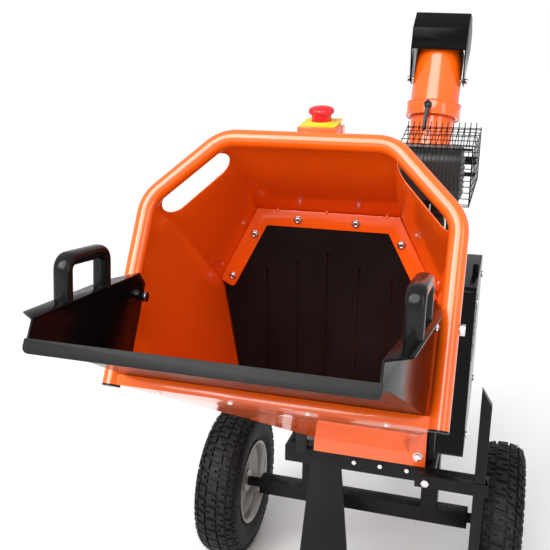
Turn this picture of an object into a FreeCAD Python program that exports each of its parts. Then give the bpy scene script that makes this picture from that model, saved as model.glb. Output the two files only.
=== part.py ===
import FreeCAD, Part
import math
import os

# Wood chipper, millimetres, +Z up, +Y away from the person who feeds it, +X to that person's right.
# The design frame has its zero under the middle of the hopper mouth; ORIGIN moves it to the
# middle of the whole machine's footprint.
ORIGIN_X = 40.0
ORIGIN_Y = 598.686

V = FreeCAD.Vector
X_DIR = V(1, 0, 0)
Y_DIR = V(0, 1, 0)
Z_DIR = V(0, 0, 1)

# hopper mouth: a loop of bent tube in a plane that leans back
MOUTH_HEIGHT = 785.0
MOUTH_TILT = math.radians(30.4)
LEG_X = 266.0
SHOULDER_V = 325.0
LOOP_TOP_X = 148.0
LOOP_TOP_V = 446.0
LOOP_R = 15.5
LOOP_WALL = 2.0
LOOP_BEND = 62.0
CROSS_TUBE = 18.0
SLOT_INWARDS = 44.5
SLOT_HALF_LENGTH = 47.5
SLOT_HALF_WIDTH = 27.5

# throat: the vertical plane where the rubber curtain hangs
THROAT_Y = 400.0
COLLAR_Y = 420.0
COLLAR_DROP = 12.0
THROAT_TOP = (144.0, 1016.0)
THROAT_SIDE = (224.0, 863.0)
THROAT_LOW = (170.0, 545.0)
SHEET = 2.5
BAND = 33.0
RUBBER = 4.0
SLITS = [(-121.0, 886.0), (-57.0, 908.0), (3.0, 929.0), (67.0, 905.0), (132.0, 884.0)]
SLIT_GAP = 3.0
FLAP_LOW = 604.0
FLAP_GAP = 2.5
OUTER_HINGE = 848.0

# inlet of the chipping chamber
INLET_Y = 500.0
INLET_X0 = -28.0
INLET_X1 = 175.0
INLET_Z0 = 467.0
INLET_Z1 = 690.0
PLATE = 5.0

# chipping drum
DRUM_Y = 620.0
DRUM_Z = 590.0
DRUM_R = 98.0
KNIFE_R = 105.0
CHAMBER_R = 112.0
SHAFT_R = 15.0
HOUSING_X0 = -34.0
HOUSING_X1 = 181.0
OUTLET_Y = 745.0

# engine
CRANK_Y = 690.0
CRANK_Z = 822.0
CRANK_R = 12.5
DECK_Z = 722.0

# belt drive
PULLEY_X0 = 246.0
PULLEY_X1 = 286.0
DRUM_PULLEY_R = 75.0
ENGINE_PULLEY_R = 45.0
GROOVE = 9.0
GUARD_X0 = 236.0
GUARD_X1 = 293.0
GUARD_Y0 = 430.0
GUARD_Y1 = 790.0
GUARD_Z0 = 507.0
GUARD_Z1 = 876.0
GUARD_REAR_R = 95.0
GUARD_FRONT_R = 14.0

# discharge chute
CHUTE_AXIS = V(0.035, 0.2867, 1.0)
COLLAR_POINT = V(139.0, 950.0, 1160.0)
LOWER_PIPE_R = 53.0
UPPER_PIPE_R = 59.0
COLLAR_R = 66.0

# running gear and frame
AXLE_Y = 700.0
WHEEL_R = 200.0
TYRE_WIDTH = 110.0
LEFT_WHEEL_X = -300.0
RIGHT_WHEEL_X = 380.0
RAIL_Z0 = 395.0
RAIL_Z1 = 435.0
RAIL_Y0 = 505.0
RAIL_Y1 = 1000.0
LEFT_RAIL_X = -110.0
RIGHT_RAIL_X = 195.0
RAIL = 40.0
DRAWBAR_X = 62.0
DRAWBAR_END = 1390.0

# folding feed tray, in mouth coordinates
TRAY_FRONT = 336.0
TRAY_HALF_FRONT = 220.0
TRAY_HALF_REAR = 245.0
TRAY_FLOOR_V = 18.3
TRAY_SHEET = 3.0
TRAY_LIP_DROP = 14.0
TRAY_PIVOT_V = 152.0
TRAY_FLANGE_X = 249.0
TRAY_FLANGE_WIDE = 262.0
TRAY_WALL_FRONT = 47.0
TRAY_WALL_REAR = 186.0
TRAY_WALL_END = 30.0
HANDLE_X = 238.0
HANDLE_FRONT = 243.0
HANDLE_REAR = 147.0
HANDLE_HEIGHT = 56.0
HANDLE_BEND = 20.0
HANDLE_R = 10.0


def box(x0, x1, y0, y1, z0, z1):
    return Part.makeBox(x1 - x0, y1 - y0, z1 - z0, V(x0, y0, z0))


def rod(start, direction, radius, length):
    return Part.makeCylinder(radius, length, start, direction)


def hexagon_head(centre, direction, across, height):
    """A bolt head or nut that stands on centre and points along direction."""
    side = direction.cross(Z_DIR)
    if side.Length < 0.1:
        side = V(1, 0, 0)
    side.normalize()
    up = direction.cross(side)
    up.normalize()
    radius = across / math.sqrt(3)
    points = []
    for k in range(7):
        angle = math.pi * k / 3
        points.append(centre + side * (radius * math.cos(angle)) + up * (radius * math.sin(angle)))
    return Part.Face(Part.makePolygon(points)).extrude(direction * height)


def prism_x(points, x0, x1):
    """Outline in the YZ plane, pushed along X."""
    ring = [V(x0, y, z) for y, z in points]
    return Part.Face(Part.makePolygon(ring + ring[:1])).extrude(V(x1 - x0, 0, 0))


def prism_y(points, y0, y1):
    """Outline in the XZ plane, pushed along Y."""
    ring = [V(x, y0, z) for x, z in points]
    return Part.Face(Part.makePolygon(ring + ring[:1])).extrude(V(0, y1 - y0, 0))


def inset(points, distance):
    """Moves every side of a convex outline towards its inside."""
    count = len(points)
    mid_x = sum(p[0] for p in points) / count
    mid_y = sum(p[1] for p in points) / count
    lines = []
    for k in range(count):
        ax, ay = points[k]
        bx, by = points[(k + 1) % count]
        nx, ny = by - ay, ax - bx
        size = math.hypot(nx, ny)
        nx, ny = nx / size, ny / size
        if nx * (mid_x - ax) + ny * (mid_y - ay) < 0:
            nx, ny = -nx, -ny
        lines.append((nx, ny, nx * ax + ny * ay + distance))
    result = []
    for k in range(count):
        a1, b1, c1 = lines[k - 1]
        a2, b2, c2 = lines[k]
        det = a1 * b2 - a2 * b1
        result.append(((c1 * b2 - c2 * b1) / det, (a1 * c2 - a2 * c1) / det))
    return result


def loft(first, second):
    rings = [Part.makePolygon(list(ring) + [ring[0]]) for ring in (first, second)]
    return Part.makeLoft(rings, True, True)


def stretched(first, second, amount):
    """Both outlines pushed apart along the lines that join their corners."""
    one = [a + (a - b) * amount for a, b in zip(first, second)]
    two = [b + (b - a) * amount for a, b in zip(first, second)]
    return one, two


def rounded_path(points, radius):
    """Straight runs joined by tangent arcs."""
    edges = []
    start = points[0]
    for k in range(1, len(points) - 1):
        before = (points[k - 1] - points[k]).normalize()
        after = (points[k + 1] - points[k]).normalize()
        half = before.getAngle(after) / 2
        reach = radius / math.tan(half)
        enter = points[k] + before * reach
        leave = points[k] + after * reach
        bisector = (before + after).normalize()
        middle = points[k] + bisector * (radius / math.sin(half) - radius)
        edges.append(Part.LineSegment(start, enter).toShape())
        edges.append(Part.Arc(enter, middle, leave).toShape())
        start = leave
    edges.append(Part.LineSegment(start, points[-1]).toShape())
    return Part.Wire(edges)


def sweep(points, bend, radius):
    path = rounded_path(points, bend)
    direction = points[1] - points[0]
    circle = Part.Wire([Part.makeCircle(radius, points[0], direction)])
    return path.makePipeShell([circle], True, False)


def mouth(x, v, n):
    """Point from its place across, up and out of the leaning mouth plane."""
    sine, cosine = math.sin(MOUTH_TILT), math.cos(MOUTH_TILT)
    return V(x, v * sine - n * cosine, MOUTH_HEIGHT + v * cosine + n * sine)


def mouth_prism(points, x0, x1):
    """Outline of (n, v) pairs in mouth coordinates, pushed along X."""
    ring = [mouth(x0, v, n) for n, v in points]
    return Part.Face(Part.makePolygon(ring + ring[:1])).extrude(V(x1 - x0, 0, 0))


def mouth_outline(gap):
    shape = [(-LOOP_TOP_X, LOOP_TOP_V), (LOOP_TOP_X, LOOP_TOP_V), (LEG_X, SHOULDER_V),
             (LEG_X - 4, 1.0), (4 - LEG_X, 1.0), (-LEG_X, SHOULDER_V)]
    return [mouth(x, v, 0) for x, v in inset(shape, gap)]


def throat_outline(gap, drop=0.0):
    low = THROAT_LOW[1] - drop
    shape = [(-THROAT_TOP[0], THROAT_TOP[1]), THROAT_TOP, THROAT_SIDE, (THROAT_LOW[0], low),
             (-THROAT_LOW[0], low), (-THROAT_SIDE[0], THROAT_SIDE[1])]
    return inset(shape, gap)


def inlet_outline(gap):
    middle = (INLET_Z0 + INLET_Z1) / 2
    shape = [(INLET_X0, INLET_Z1), (INLET_X1, INLET_Z1), (INLET_X1 + 0.01, middle), (INLET_X1, INLET_Z0),
             (INLET_X0, INLET_Z0), (INLET_X0 - 0.01, middle)]
    return inset(shape, gap)


def at_y(points, y):
    return [V(x, y, z) for x, z in points]


def loop_points():
    return [mouth(-LEG_X, 0, 0), mouth(-LEG_X, SHOULDER_V, 0), mouth(-LOOP_TOP_X, LOOP_TOP_V, 0),
            mouth(LOOP_TOP_X, LOOP_TOP_V, 0), mouth(LEG_X, SHOULDER_V, 0), mouth(LEG_X, 0, 0)]


def loop_solid():
    return sweep(loop_points(), LOOP_BEND, LOOP_R)


def cross_tube_block(gap):
    half = CROSS_TUBE / 2 + gap
    return mouth_prism([(-half, -gap), (half, -gap), (half, CROSS_TUBE + gap), (-half, CROSS_TUBE + gap)],
                       -LEG_X, LEG_X)


def slot_tool(side):
    """Rounded hand slot through a chamfer wall, just inside the tube."""
    top = mouth(side * LOOP_TOP_X, LOOP_TOP_V, 0)
    shoulder = mouth(side * LEG_X, SHOULDER_V, 0)
    along = (shoulder - top).normalize()
    throat_mid = V(side * (THROAT_TOP[0] + THROAT_SIDE[0]) / 2, THROAT_Y,
                   (THROAT_TOP[1] + THROAT_SIDE[1]) / 2)
    middle = (top + shoulder) * 0.5
    inwards = (throat_mid - middle).normalize()
    normal = along.cross(inwards).normalize()
    centre = middle + inwards * SLOT_INWARDS
    half_length = SLOT_HALF_LENGTH
    half_width = SLOT_HALF_WIDTH
    a = centre + along * half_length - inwards * half_width - normal * 30
    b = centre - along * half_length - inwards * half_width - normal * 30
    c = centre - along * half_length + inwards * half_width - normal * 30
    d = centre + along * half_length + inwards * half_width - normal * 30
    slab = Part.Face(Part.makePolygon([a, b, c, d, a])).extrude(normal * 60)
    ends = [rod(centre + along * (half_length * k) - normal * 30, normal, half_width, 60) for k in (-1, 1)]
    return slab.fuse(ends)


def hopper_funnel():
    outer = loft(mouth_outline(0), at_y(throat_outline(0), THROAT_Y))
    inner = loft(*stretched(mouth_outline(SHEET), at_y(throat_outline(SHEET), THROAT_Y), 0.03))
    shell = outer.cut(inner)
    return shell.cut([loop_solid(), cross_tube_block(0), slot_tool(1), slot_tool(-1)])


def hopper_loop_tube():
    bore = sweep(loop_points(), LOOP_BEND, LOOP_R - LOOP_WALL)
    bolts = rod(mouth(-300, TRAY_PIVOT_V, 0), X_DIR, 5, 600)
    return loop_solid().cut([bore, bolts])


def tube_end_caps():
    caps = []
    for side in (-1, 1):
        foot = mouth(side * LEG_X, 0, 0)
        down = (mouth(0, -1, 0) - mouth(0, 0, 0)).normalize()
        head = rod(foot, down, LOOP_R, 3.5)
        plug = rod(foot - down * 12, down, LOOP_R - LOOP_WALL, 12)
        caps.append(head.fuse(plug))
    return Part.makeCompound(caps)


def lower_cross_tube():
    wall = 2.0
    half = CROSS_TUBE / 2
    inner = mouth_prism([(-half + wall, wall), (half - wall, wall), (half - wall, CROSS_TUBE - wall),
                         (-half + wall, CROSS_TUBE - wall)], -LEG_X, LEG_X)
    return cross_tube_block(0).cut([inner, loop_solid()])


def curtain_flange():
    outline = at_y(throat_outline(SHEET + 0.5), THROAT_Y - 3)
    hole = at_y(throat_outline(SHEET + 0.5 + BAND), THROAT_Y - 4)
    plate = Part.Face(Part.makePolygon(outline + outline[:1])).extrude(V(0, 3, 0))
    window = Part.Face(Part.makePolygon(hole + hole[:1])).extrude(V(0, 5, 0))
    band = plate.cut(window)
    keep = box(-300, 300, THROAT_Y - 5, THROAT_Y + 1, 852, 1100)
    band = band.common(keep)
    holes = [rod(V(x, THROAT_Y - 5, z), Y_DIR, 4, 8) for x, z in flange_screw_places()]
    return band.cut(holes)


def flange_screw_places():
    places = []
    for side in (-1, 1):
        places += [(side * 58, 995), (side * 148, 960), (side * 196, 868)]
    return places


def hopper_screws():
    """Button heads of the curtain flange, and the row of small screws under the mouth."""
    screws = []
    for x, z in flange_screw_places():
        head = rod(V(x, THROAT_Y - 3, z), -Y_DIR, 7.5, 4.5)
        shank = rod(V(x, THROAT_Y - 3, z), Y_DIR, 4, 7)
        screws.append(head.fuse(shank))
    slope = (MOUTH_HEIGHT + 1 - THROAT_LOW[1]) / THROAT_Y
    down = V(0, -math.sin(math.atan(slope)), -math.cos(math.atan(slope)))
    y = 30.0
    for x in (-195, -68, 62, 186):
        surface = V(x, y, MOUTH_HEIGHT + 1 - slope * y)
        screws.append(rod(surface + down * 0.3, down, 4.5, 4))
    gland = rod(V(44, 297, 1166), X_DIR, 7, 10)
    screws.append(gland)
    return Part.makeCompound(screws)


def curtain_sheet(gap):
    outline = at_y(throat_outline(gap), THROAT_Y)
    return Part.Face(Part.makePolygon(outline + outline[:1])).extrude(V(0, RUBBER, 0))


def flap_limits():
    """Left and right edge and hinge height of each rubber flap; the outer two start below the flange."""
    edges = [(-400.0, OUTER_HINGE)] + SLITS + [(400.0, OUTER_HINGE)]
    limits = []
    for k in range(len(edges) - 1):
        left, right = edges[k], edges[k + 1]
        limits.append((left[0] + SLIT_GAP / 2, right[0] - SLIT_GAP / 2, min(left[1], right[1])))
    return limits


def curtain_header():
    strip = curtain_sheet(4)
    below = []
    for left, right, hinge in flap_limits():
        below.append(box(left - SLIT_GAP, right + SLIT_GAP, THROAT_Y - 1, THROAT_Y + 9,
                         400, hinge + FLAP_GAP))
    x, z = SLITS[2]
    below.append(box(x - SLIT_GAP / 2, x + SLIT_GAP / 2, THROAT_Y - 1, THROAT_Y + 9, 800, z))
    below += [rod(V(sx, THROAT_Y - 1, sz), Y_DIR, 4, 8) for sx, sz in SLITS]
    holes = [rod(V(sx, THROAT_Y - 1, sz), Y_DIR, 4, 8) for sx, sz in flange_screw_places()]
    return strip.cut(below + holes)


def curtain_flap(number):
    left, right, hinge = flap_limits()[number]
    strip = curtain_sheet(7)
    flap = strip.common(box(left, right, THROAT_Y - 1, THROAT_Y + 9, FLAP_LOW, hinge))
    holes = [rod(V(sx, THROAT_Y - 1, sz), Y_DIR, 4.3, 8) for sx, sz in flange_screw_places() + SLITS]
    return flap.cut(holes)


def infeed_chute():
    """Straight collar round the rubber curtain, then a funnel down to the chamber's inlet."""
    rings = {}
    for gap in (0, 3):
        rings[gap] = [at_y(throat_outline(gap), THROAT_Y), at_y(throat_outline(gap, COLLAR_DROP), COLLAR_Y),
                      at_y(inlet_outline(gap), INLET_Y)]
    outer = loft(rings[0][0], rings[0][1]).fuse(loft(rings[0][1], rings[0][2]))
    inner = loft(rings[3][0], rings[3][1]).fuse(loft(rings[3][1], rings[3][2]))
    shell = outer.cut(inner)
    flange = prism_y([(-34, 728), (213, 728), (213, 435), (-40, 435)], INLET_Y, INLET_Y + PLATE)
    opening = prism_y(inlet_outline(3), INLET_Y - 1, INLET_Y + PLATE + 1)
    flange = flange.cut(opening)
    holes = [rod(V(x, INLET_Y - 1, z), Y_DIR, 5, 2 * PLATE) for x, z in inlet_bolt_places()]
    return shell.fuse(flange).cut(holes)


def inlet_bolt_places():
    return [(196, 460), (202, 600), (202, 712)]


def machine_fasteners():
    """Hex bolts of the inlet flange, the studs on the front bar and the belt guard's screws."""
    pieces = []
    for x, z in inlet_bolt_places():
        washer = rod(V(x, INLET_Y, z), -Y_DIR, 11, 2)
        head = hexagon_head(V(x, INLET_Y - 2, z), -Y_DIR, 16, 7)
        shank = rod(V(x, INLET_Y, z), Y_DIR, 5, 2 * PLATE)
        pieces.append(shank.fuse([washer, head]))
    for x in (55, 114, 174):
        pieces.append(hexagon_head(V(x, RAIL_Y0, 421), -Y_DIR, 10, 8))
    pieces.append(hexagon_head(V(218, RAIL_Y0 - 39, 420), -Y_DIR, 16, 9))
    for y, z in ((470, 545), (470, 838), (740, 560), (740, 822)):
        pieces.append(rod(V(GUARD_X1, y, z), X_DIR, 7, 4))
    return Part.makeCompound(pieces)


def infeed_knob():
    """Hand screw with an oval grip at the left end of the inlet flange."""
    x = -67.0
    low, high = 446.0, 472.0
    grip = box(x - 13, x + 13, INLET_Y - 13, INLET_Y + 5, low, high)
    rounds = [rod(V(x, INLET_Y - 13, z), Y_DIR, 13, 18) for z in (low, high)]
    boss = box(x + 6, -40, INLET_Y - 1, INLET_Y + 5, low, high - 14)
    return grip.fuse(rounds + [boss])


def roof_height(y):
    """Height of the funnel's top wall."""
    front = mouth(0, LOOP_TOP_V, 0)
    return front.z + (THROAT_TOP[1] - front.z) * (y - front.y) / (THROAT_Y - front.y)


def estop_box():
    body = box(-26, 44, 262, 332, 1142, 1190)
    foot = prism_x([(263, roof_height(263) + 0.2), (331, roof_height(331) + 0.2), (331, 1142), (263, 1142)],
                   -16, 34)
    hole = rod(V(9, 297, 1176), Z_DIR, 11.6, 20)
    return body.fuse(foot).cut(hole)


def estop_plate():
    plate = box(-22, 40, 266, 328, 1190, 1192)
    ring = rod(V(9, 297, 1192), Z_DIR, 17, 6)
    hole = rod(V(9, 297, 1180), Z_DIR, 11.6, 30)
    return plate.fuse(ring).cut(hole)


def estop_button():
    stem = rod(V(9, 297, 1184), Z_DIR, 11, 24)
    skirt = rod(V(9, 297, 1206), Z_DIR, 20, 9)
    dome = Part.makeSphere(30, V(9, 297, 1215 - 22.36)).common(rod(V(9, 297, 1215), Z_DIR, 20, 12))
    return stem.fuse([skirt, dome])


def tray_half_width(n):
    return TRAY_HALF_FRONT + (TRAY_HALF_REAR - TRAY_HALF_FRONT) * (TRAY_FRONT - n) / TRAY_FRONT


def tray_top(n):
    """Height of the side wall's top edge."""
    rise = TRAY_WALL_REAR - TRAY_WALL_FRONT
    return TRAY_WALL_FRONT + rise * (TRAY_FRONT - n) / (TRAY_FRONT - TRAY_WALL_END)


def tray_lift():
    """Direction square to the sloping top edge of the tray's side walls."""
    slope = math.atan2(TRAY_WALL_REAR - TRAY_WALL_FRONT, TRAY_FRONT - TRAY_WALL_END)
    return mouth(0, math.cos(slope), math.sin(slope)) - mouth(0, 0, 0)


def tray_wall(side):
    profile = [(TRAY_FRONT, TRAY_FLOOR_V), (TRAY_FRONT, TRAY_WALL_FRONT), (TRAY_WALL_END, TRAY_WALL_REAR),
               (-4, 176), (-8, 60), (6, TRAY_FLOOR_V)]
    ring = [mouth(side * tray_half_width(n), v, n) for n, v in profile]
    return Part.Face(Part.makePolygon(ring + ring[:1])).extrude(V(-side * TRAY_SHEET, 0, 0))


def tray_flange(side):
    corners = [(tray_half_width(TRAY_FRONT), TRAY_FRONT), (TRAY_FLANGE_X, TRAY_FRONT - 23),
               (TRAY_FLANGE_WIDE, 110), (TRAY_FLANGE_X, 50),
               (tray_half_width(TRAY_WALL_END) - 1, TRAY_WALL_END)]
    ring = [mouth(side * x, tray_top(n), n) for x, n in corners]
    inner = [mouth(side * (x - TRAY_SHEET), tray_top(n), n) for x, n in (corners[0], corners[-1])]
    ring = [inner[0]] + ring + [inner[1]]
    return Part.Face(Part.makePolygon(ring + ring[:1])).extrude(tray_lift() * -TRAY_SHEET)


def feed_tray():
    half_rear = tray_half_width(6)
    floor = [mouth(-TRAY_HALF_FRONT, TRAY_FLOOR_V, TRAY_FRONT),
             mouth(TRAY_HALF_FRONT, TRAY_FLOOR_V, TRAY_FRONT),
             mouth(half_rear, TRAY_FLOOR_V, 6), mouth(-half_rear, TRAY_FLOOR_V, 6)]
    up = mouth(0, TRAY_SHEET, 0) - mouth(0, 0, 0)
    plate = Part.Face(Part.makePolygon(floor + floor[:1])).extrude(up)
    lip_back = TRAY_FRONT - TRAY_SHEET
    lip_top = TRAY_FLOOR_V + TRAY_SHEET
    lip_low = TRAY_FLOOR_V - TRAY_LIP_DROP
    lip_profile = [(lip_back, lip_top), (TRAY_FRONT, lip_top), (TRAY_FRONT, lip_low), (lip_back, lip_low)]
    lip = mouth_prism(lip_profile, -TRAY_HALF_FRONT, TRAY_HALF_FRONT)
    parts = [lip]
    for side in (-1, 1):
        parts += [tray_wall(side), tray_flange(side)]
    body = plate.fuse(parts).removeSplitter()
    pivot = rod(mouth(-300, TRAY_PIVOT_V, 0), X_DIR, 5.05, 600)
    return body.cut(pivot)


def tray_handle(side):
    lift = tray_lift()
    x = side * HANDLE_X
    front = mouth(x, tray_top(HANDLE_FRONT), HANDLE_FRONT)
    rear = mouth(x, tray_top(HANDLE_REAR), HANDLE_REAR)
    points = [front, front + lift * HANDLE_HEIGHT, rear + lift * HANDLE_HEIGHT, rear]
    return sweep(points, HANDLE_BEND, HANDLE_R)


def tray_pivot_bolts():
    bolts = []
    for side in (-1, 1):
        direction = V(side, 0, 0)
        shank = rod(mouth(side * 240, TRAY_PIVOT_V, 0), direction, 5, 48)
        head = rod(mouth(side * 233, TRAY_PIVOT_V, 0), direction, 9, 7)
        spacer = rod(mouth(side * 245.6, TRAY_PIVOT_V, 0), direction, 8, 5.2)
        spacer = spacer.cut(loop_solid())
        nut = hexagon_head(mouth(side * (LEG_X + LOOP_R + 0.2), TRAY_PIVOT_V, 0), direction, 16, 8)
        bolts.append(shank.fuse([head, spacer, nut]))
    return Part.makeCompound(bolts)


def chamber_profile(grow, x0, x1):
    """Round chamber with a straight inlet in front and a straight outlet behind."""
    drum_space = rod(V(x0, DRUM_Y, DRUM_Z), X_DIR, CHAMBER_R + grow, x1 - x0)
    front = box(x0, x1, INLET_Y + PLATE - 5 + grow, DRUM_Y, 475 - grow, 697 + grow)
    rear = box(x0, x1, DRUM_Y, OUTLET_Y + 5 - grow, 603 - grow, 697 + grow)
    return drum_space.fuse([front, rear])


def rotor_housing():
    outer = chamber_profile(PLATE, HOUSING_X0, HOUSING_X1)
    inner = chamber_profile(0, INLET_X0, INLET_X1)
    shell = outer.cut([inner, box(-100, 300, 400, INLET_Y + PLATE, 300, 900)])
    flange = prism_y([(-34, 728), (213, 728), (213, 435), (-40, 435)], INLET_Y + PLATE, INLET_Y + 2 * PLATE)
    flange = flange.cut(prism_y(inlet_outline(3), INLET_Y, INLET_Y + 3 * PLATE))
    rear_flange = box(58, 186, OUTLET_Y, OUTLET_Y + PLATE, 590, 712)
    rear_flange = rear_flange.cut(rod(V(121, OUTLET_Y - 20, 653), Y_DIR, LOWER_PIPE_R - 3, 60))
    rear_flange = rear_flange.cut(box(INLET_X0, INLET_X1, OUTLET_Y - 40, OUTLET_Y, 603, 697))
    rear_wall = box(INLET_X0, INLET_X1, OUTLET_Y - PLATE, OUTLET_Y, 603, 697)
    rear_wall = rear_wall.cut(rod(V(121, OUTLET_Y - 20, 653), Y_DIR, 46.5, 60))
    feet = [box(HOUSING_X0, HOUSING_X0 + 30, DRUM_Y - 60, DRUM_Y + 60, 435, 500).cut(outer),
            box(HOUSING_X1 - 30, HOUSING_X1, DRUM_Y - 60, DRUM_Y + 60, 435, 500).cut(outer)]
    body = shell.fuse([flange, rear_flange, rear_wall] + feet)
    shaft_hole = rod(V(-60, DRUM_Y, DRUM_Z), X_DIR, SHAFT_R + 1.5, 300)
    bolts = [rod(V(x, INLET_Y - 1, z), Y_DIR, 5, 2 * PLATE + 2) for x, z in inlet_bolt_places()]
    return body.cut([shaft_hole] + bolts)


def chipper_drum():
    body = rod(V(INLET_X0 + 5, DRUM_Y, DRUM_Z), X_DIR, DRUM_R, INLET_X1 - INLET_X0 - 10)
    shaft = rod(V(-75, DRUM_Y, DRUM_Z), X_DIR, SHAFT_R, 365)
    for side in (-1, 1):
        pocket = box(INLET_X0, INLET_X1, DRUM_Y - 34 if side < 0 else DRUM_Y + 4,
                     DRUM_Y - 4 if side < 0 else DRUM_Y + 34,
                     DRUM_Z + side * 72 if side > 0 else DRUM_Z - 120,
                     DRUM_Z + 120 if side > 0 else DRUM_Z - 72)
        body = body.cut(pocket)
    return body.fuse(shaft)


def drum_knives():
    knives = []
    for side in (-1, 1):
        blade = [(DRUM_Y + side * 4, DRUM_Z + side * 73), (DRUM_Y + side * 14, DRUM_Z + side * 73),
                 (DRUM_Y + side * 14, DRUM_Z + side * 92), (DRUM_Y + side * 4, DRUM_Z + side * KNIFE_R)]
        knives.append(prism_x(blade, INLET_X0 + 6, INLET_X1 - 6))
    return Part.makeCompound(knives)


def drum_bearings():
    pieces = []
    for x0, x1 in ((HOUSING_X0 - 26, HOUSING_X0), (HOUSING_X1, HOUSING_X1 + 26)):
        near = x1 if x0 < 0 else x0
        away = -1 if x0 < 0 else 1
        flange = rod(V(near, DRUM_Y, DRUM_Z), V(away, 0, 0), 44, 8)
        boss = rod(V(near, DRUM_Y, DRUM_Z), V(away, 0, 0), 31, 26)
        bore = rod(V(near - 40, DRUM_Y, DRUM_Z), X_DIR, SHAFT_R + 0.05, 80)
        pieces.append(flange.fuse(boss).cut(bore))
    return Part.makeCompound(pieces)


def counter_knife():
    bar = [(INLET_Y + 13, 476), (INLET_Y + 40, 476), (INLET_Y + 40, 492), (INLET_Y + 13, 484)]
    return prism_x(bar, INLET_X0 + 0.5, INLET_X1 - 0.5)


def pulley(y, z, radius, bore_radius):
    disc = rod(V(PULLEY_X0, y, z), X_DIR, radius, PULLEY_X1 - PULLEY_X0)
    ring = rod(V(PULLEY_X0 + 4, y, z), X_DIR, radius + 5, PULLEY_X1 - PULLEY_X0 - 8)
    core = rod(V(PULLEY_X0 + 3, y, z), X_DIR, radius - GROOVE, PULLEY_X1 - PULLEY_X0 - 6)
    bore = rod(V(PULLEY_X0 - 1, y, z), X_DIR, bore_radius, 60)
    return disc.cut(ring.cut(core)).cut(bore)


def belt_ring(r1, r2, x0, x1):
    """Filled outline that wraps the drum pulley (r1) and the engine pulley (r2)."""
    dy, dz = CRANK_Y - DRUM_Y, CRANK_Z - DRUM_Z
    distance = math.hypot(dy, dz)
    heading = math.atan2(dz, dy)
    lean = math.acos((r1 - r2) / distance)

    def on(cy, cz, radius, angle):
        return V(x0, cy + radius * math.cos(angle), cz + radius * math.sin(angle))
    a1 = on(DRUM_Y, DRUM_Z, r1, heading + lean)
    a2 = on(CRANK_Y, CRANK_Z, r2, heading + lean)
    b1 = on(DRUM_Y, DRUM_Z, r1, heading - lean)
    b2 = on(CRANK_Y, CRANK_Z, r2, heading - lean)
    far1 = on(DRUM_Y, DRUM_Z, r1, heading + math.pi)
    far2 = on(CRANK_Y, CRANK_Z, r2, heading)
    edges = [Part.LineSegment(a1, a2).toShape(), Part.Arc(a2, far2, b2).toShape(),
             Part.LineSegment(b2, b1).toShape(), Part.Arc(b1, far1, a1).toShape()]
    return Part.Face(Part.Wire(edges)).extrude(V(x1 - x0, 0, 0))


def drive_belt():
    x0, x1 = PULLEY_X0 + 4.6, PULLEY_X1 - 4.6
    low = GROOVE - 0.4
    outer = belt_ring(DRUM_PULLEY_R - 0.5, ENGINE_PULLEY_R - 0.5, x0, x1)
    inner = belt_ring(DRUM_PULLEY_R - low, ENGINE_PULLEY_R - low, x0 - 1, x1 + 1)
    return outer.cut(inner)


def guard_profile(grow, x0, x1):
    """Side outline with a low nose in front and a rounded top behind."""
    y0, y1 = GUARD_Y0 - grow, GUARD_Y1 + grow
    z0, z1 = GUARD_Z0 - grow, GUARD_Z1 + grow
    block = box(x0, x1, y0, y1, z0, z1)
    long_edges = [e for e in block.Edges if abs(e.Vertexes[0].Z - e.Vertexes[1].Z) < 0.1
                  and abs(e.Vertexes[0].Y - e.Vertexes[1].Y) < 0.1]
    rear = [e for e in long_edges if e.Vertexes[0].Y > y1 - 1]
    block = block.makeFillet(GUARD_REAR_R + grow, rear)
    front = [e for e in block.Edges if len(e.Vertexes) == 2 and abs(e.Vertexes[0].Y - y0) < 0.1
             and abs(e.Vertexes[1].Y - y0) < 0.1 and abs(e.Vertexes[0].Z - e.Vertexes[1].Z) < 0.1]
    return block.makeFillet(GUARD_FRONT_R + grow, front)


def guard_back_plate():
    plate = guard_profile(0, GUARD_X0, GUARD_X0 + 3)
    holes = [rod(V(GUARD_X0 - 1, DRUM_Y, DRUM_Z), X_DIR, SHAFT_R + 2, 6),
             rod(V(GUARD_X0 - 1, CRANK_Y, CRANK_Z), X_DIR, CRANK_R + 2, 6)]
    return plate.cut(holes)


def guard_cover():
    shell = guard_profile(0, GUARD_X0 + 3, GUARD_X1)
    return shell.cut(guard_profile(-3, GUARD_X0 + 2, GUARD_X1 - 3))


def engine_block():
    crankcase = box(10, 185, 592, 760, DECK_Z, 900)
    cylinder = box(36, 152, 600, 716, 900, 985)
    head = box(30, 158, 594, 722, 985, 1004)
    fins = [box(28, 160, 592, 724, z, z + 4) for z in (915, 930, 945, 960, 975)]
    body = crankcase.fuse([cylinder, head] + fins)
    bore = rod(V(5, CRANK_Y, CRANK_Z), X_DIR, CRANK_R + 0.05, 190)
    return body.cut(bore)


def crankshaft():
    return rod(V(12, CRANK_Y, CRANK_Z), X_DIR, CRANK_R, PULLEY_X1 - 12)


def fan_housing():
    drum = rod(V(-50, CRANK_Y, CRANK_Z), X_DIR, 98, 60)
    cap = rod(V(-72, CRANK_Y, CRANK_Z), X_DIR, 78, 22)
    recess = rod(V(-73, CRANK_Y - 52, CRANK_Z + 40), X_DIR, 7, 20)
    collar = box(-50, 10, CRANK_Y - 70, CRANK_Y + 70, CRANK_Z + 40, 985)
    return drum.fuse([cap, collar]).cut(recess)


def recoil_handle():
    grip = box(-92, -74, CRANK_Y - 60, CRANK_Y - 44, CRANK_Z + 12, CRANK_Z + 68)
    stem = rod(V(-76, CRANK_Y - 52, CRANK_Z + 40), X_DIR, 5, 16)
    return grip.fuse(stem)


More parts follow.
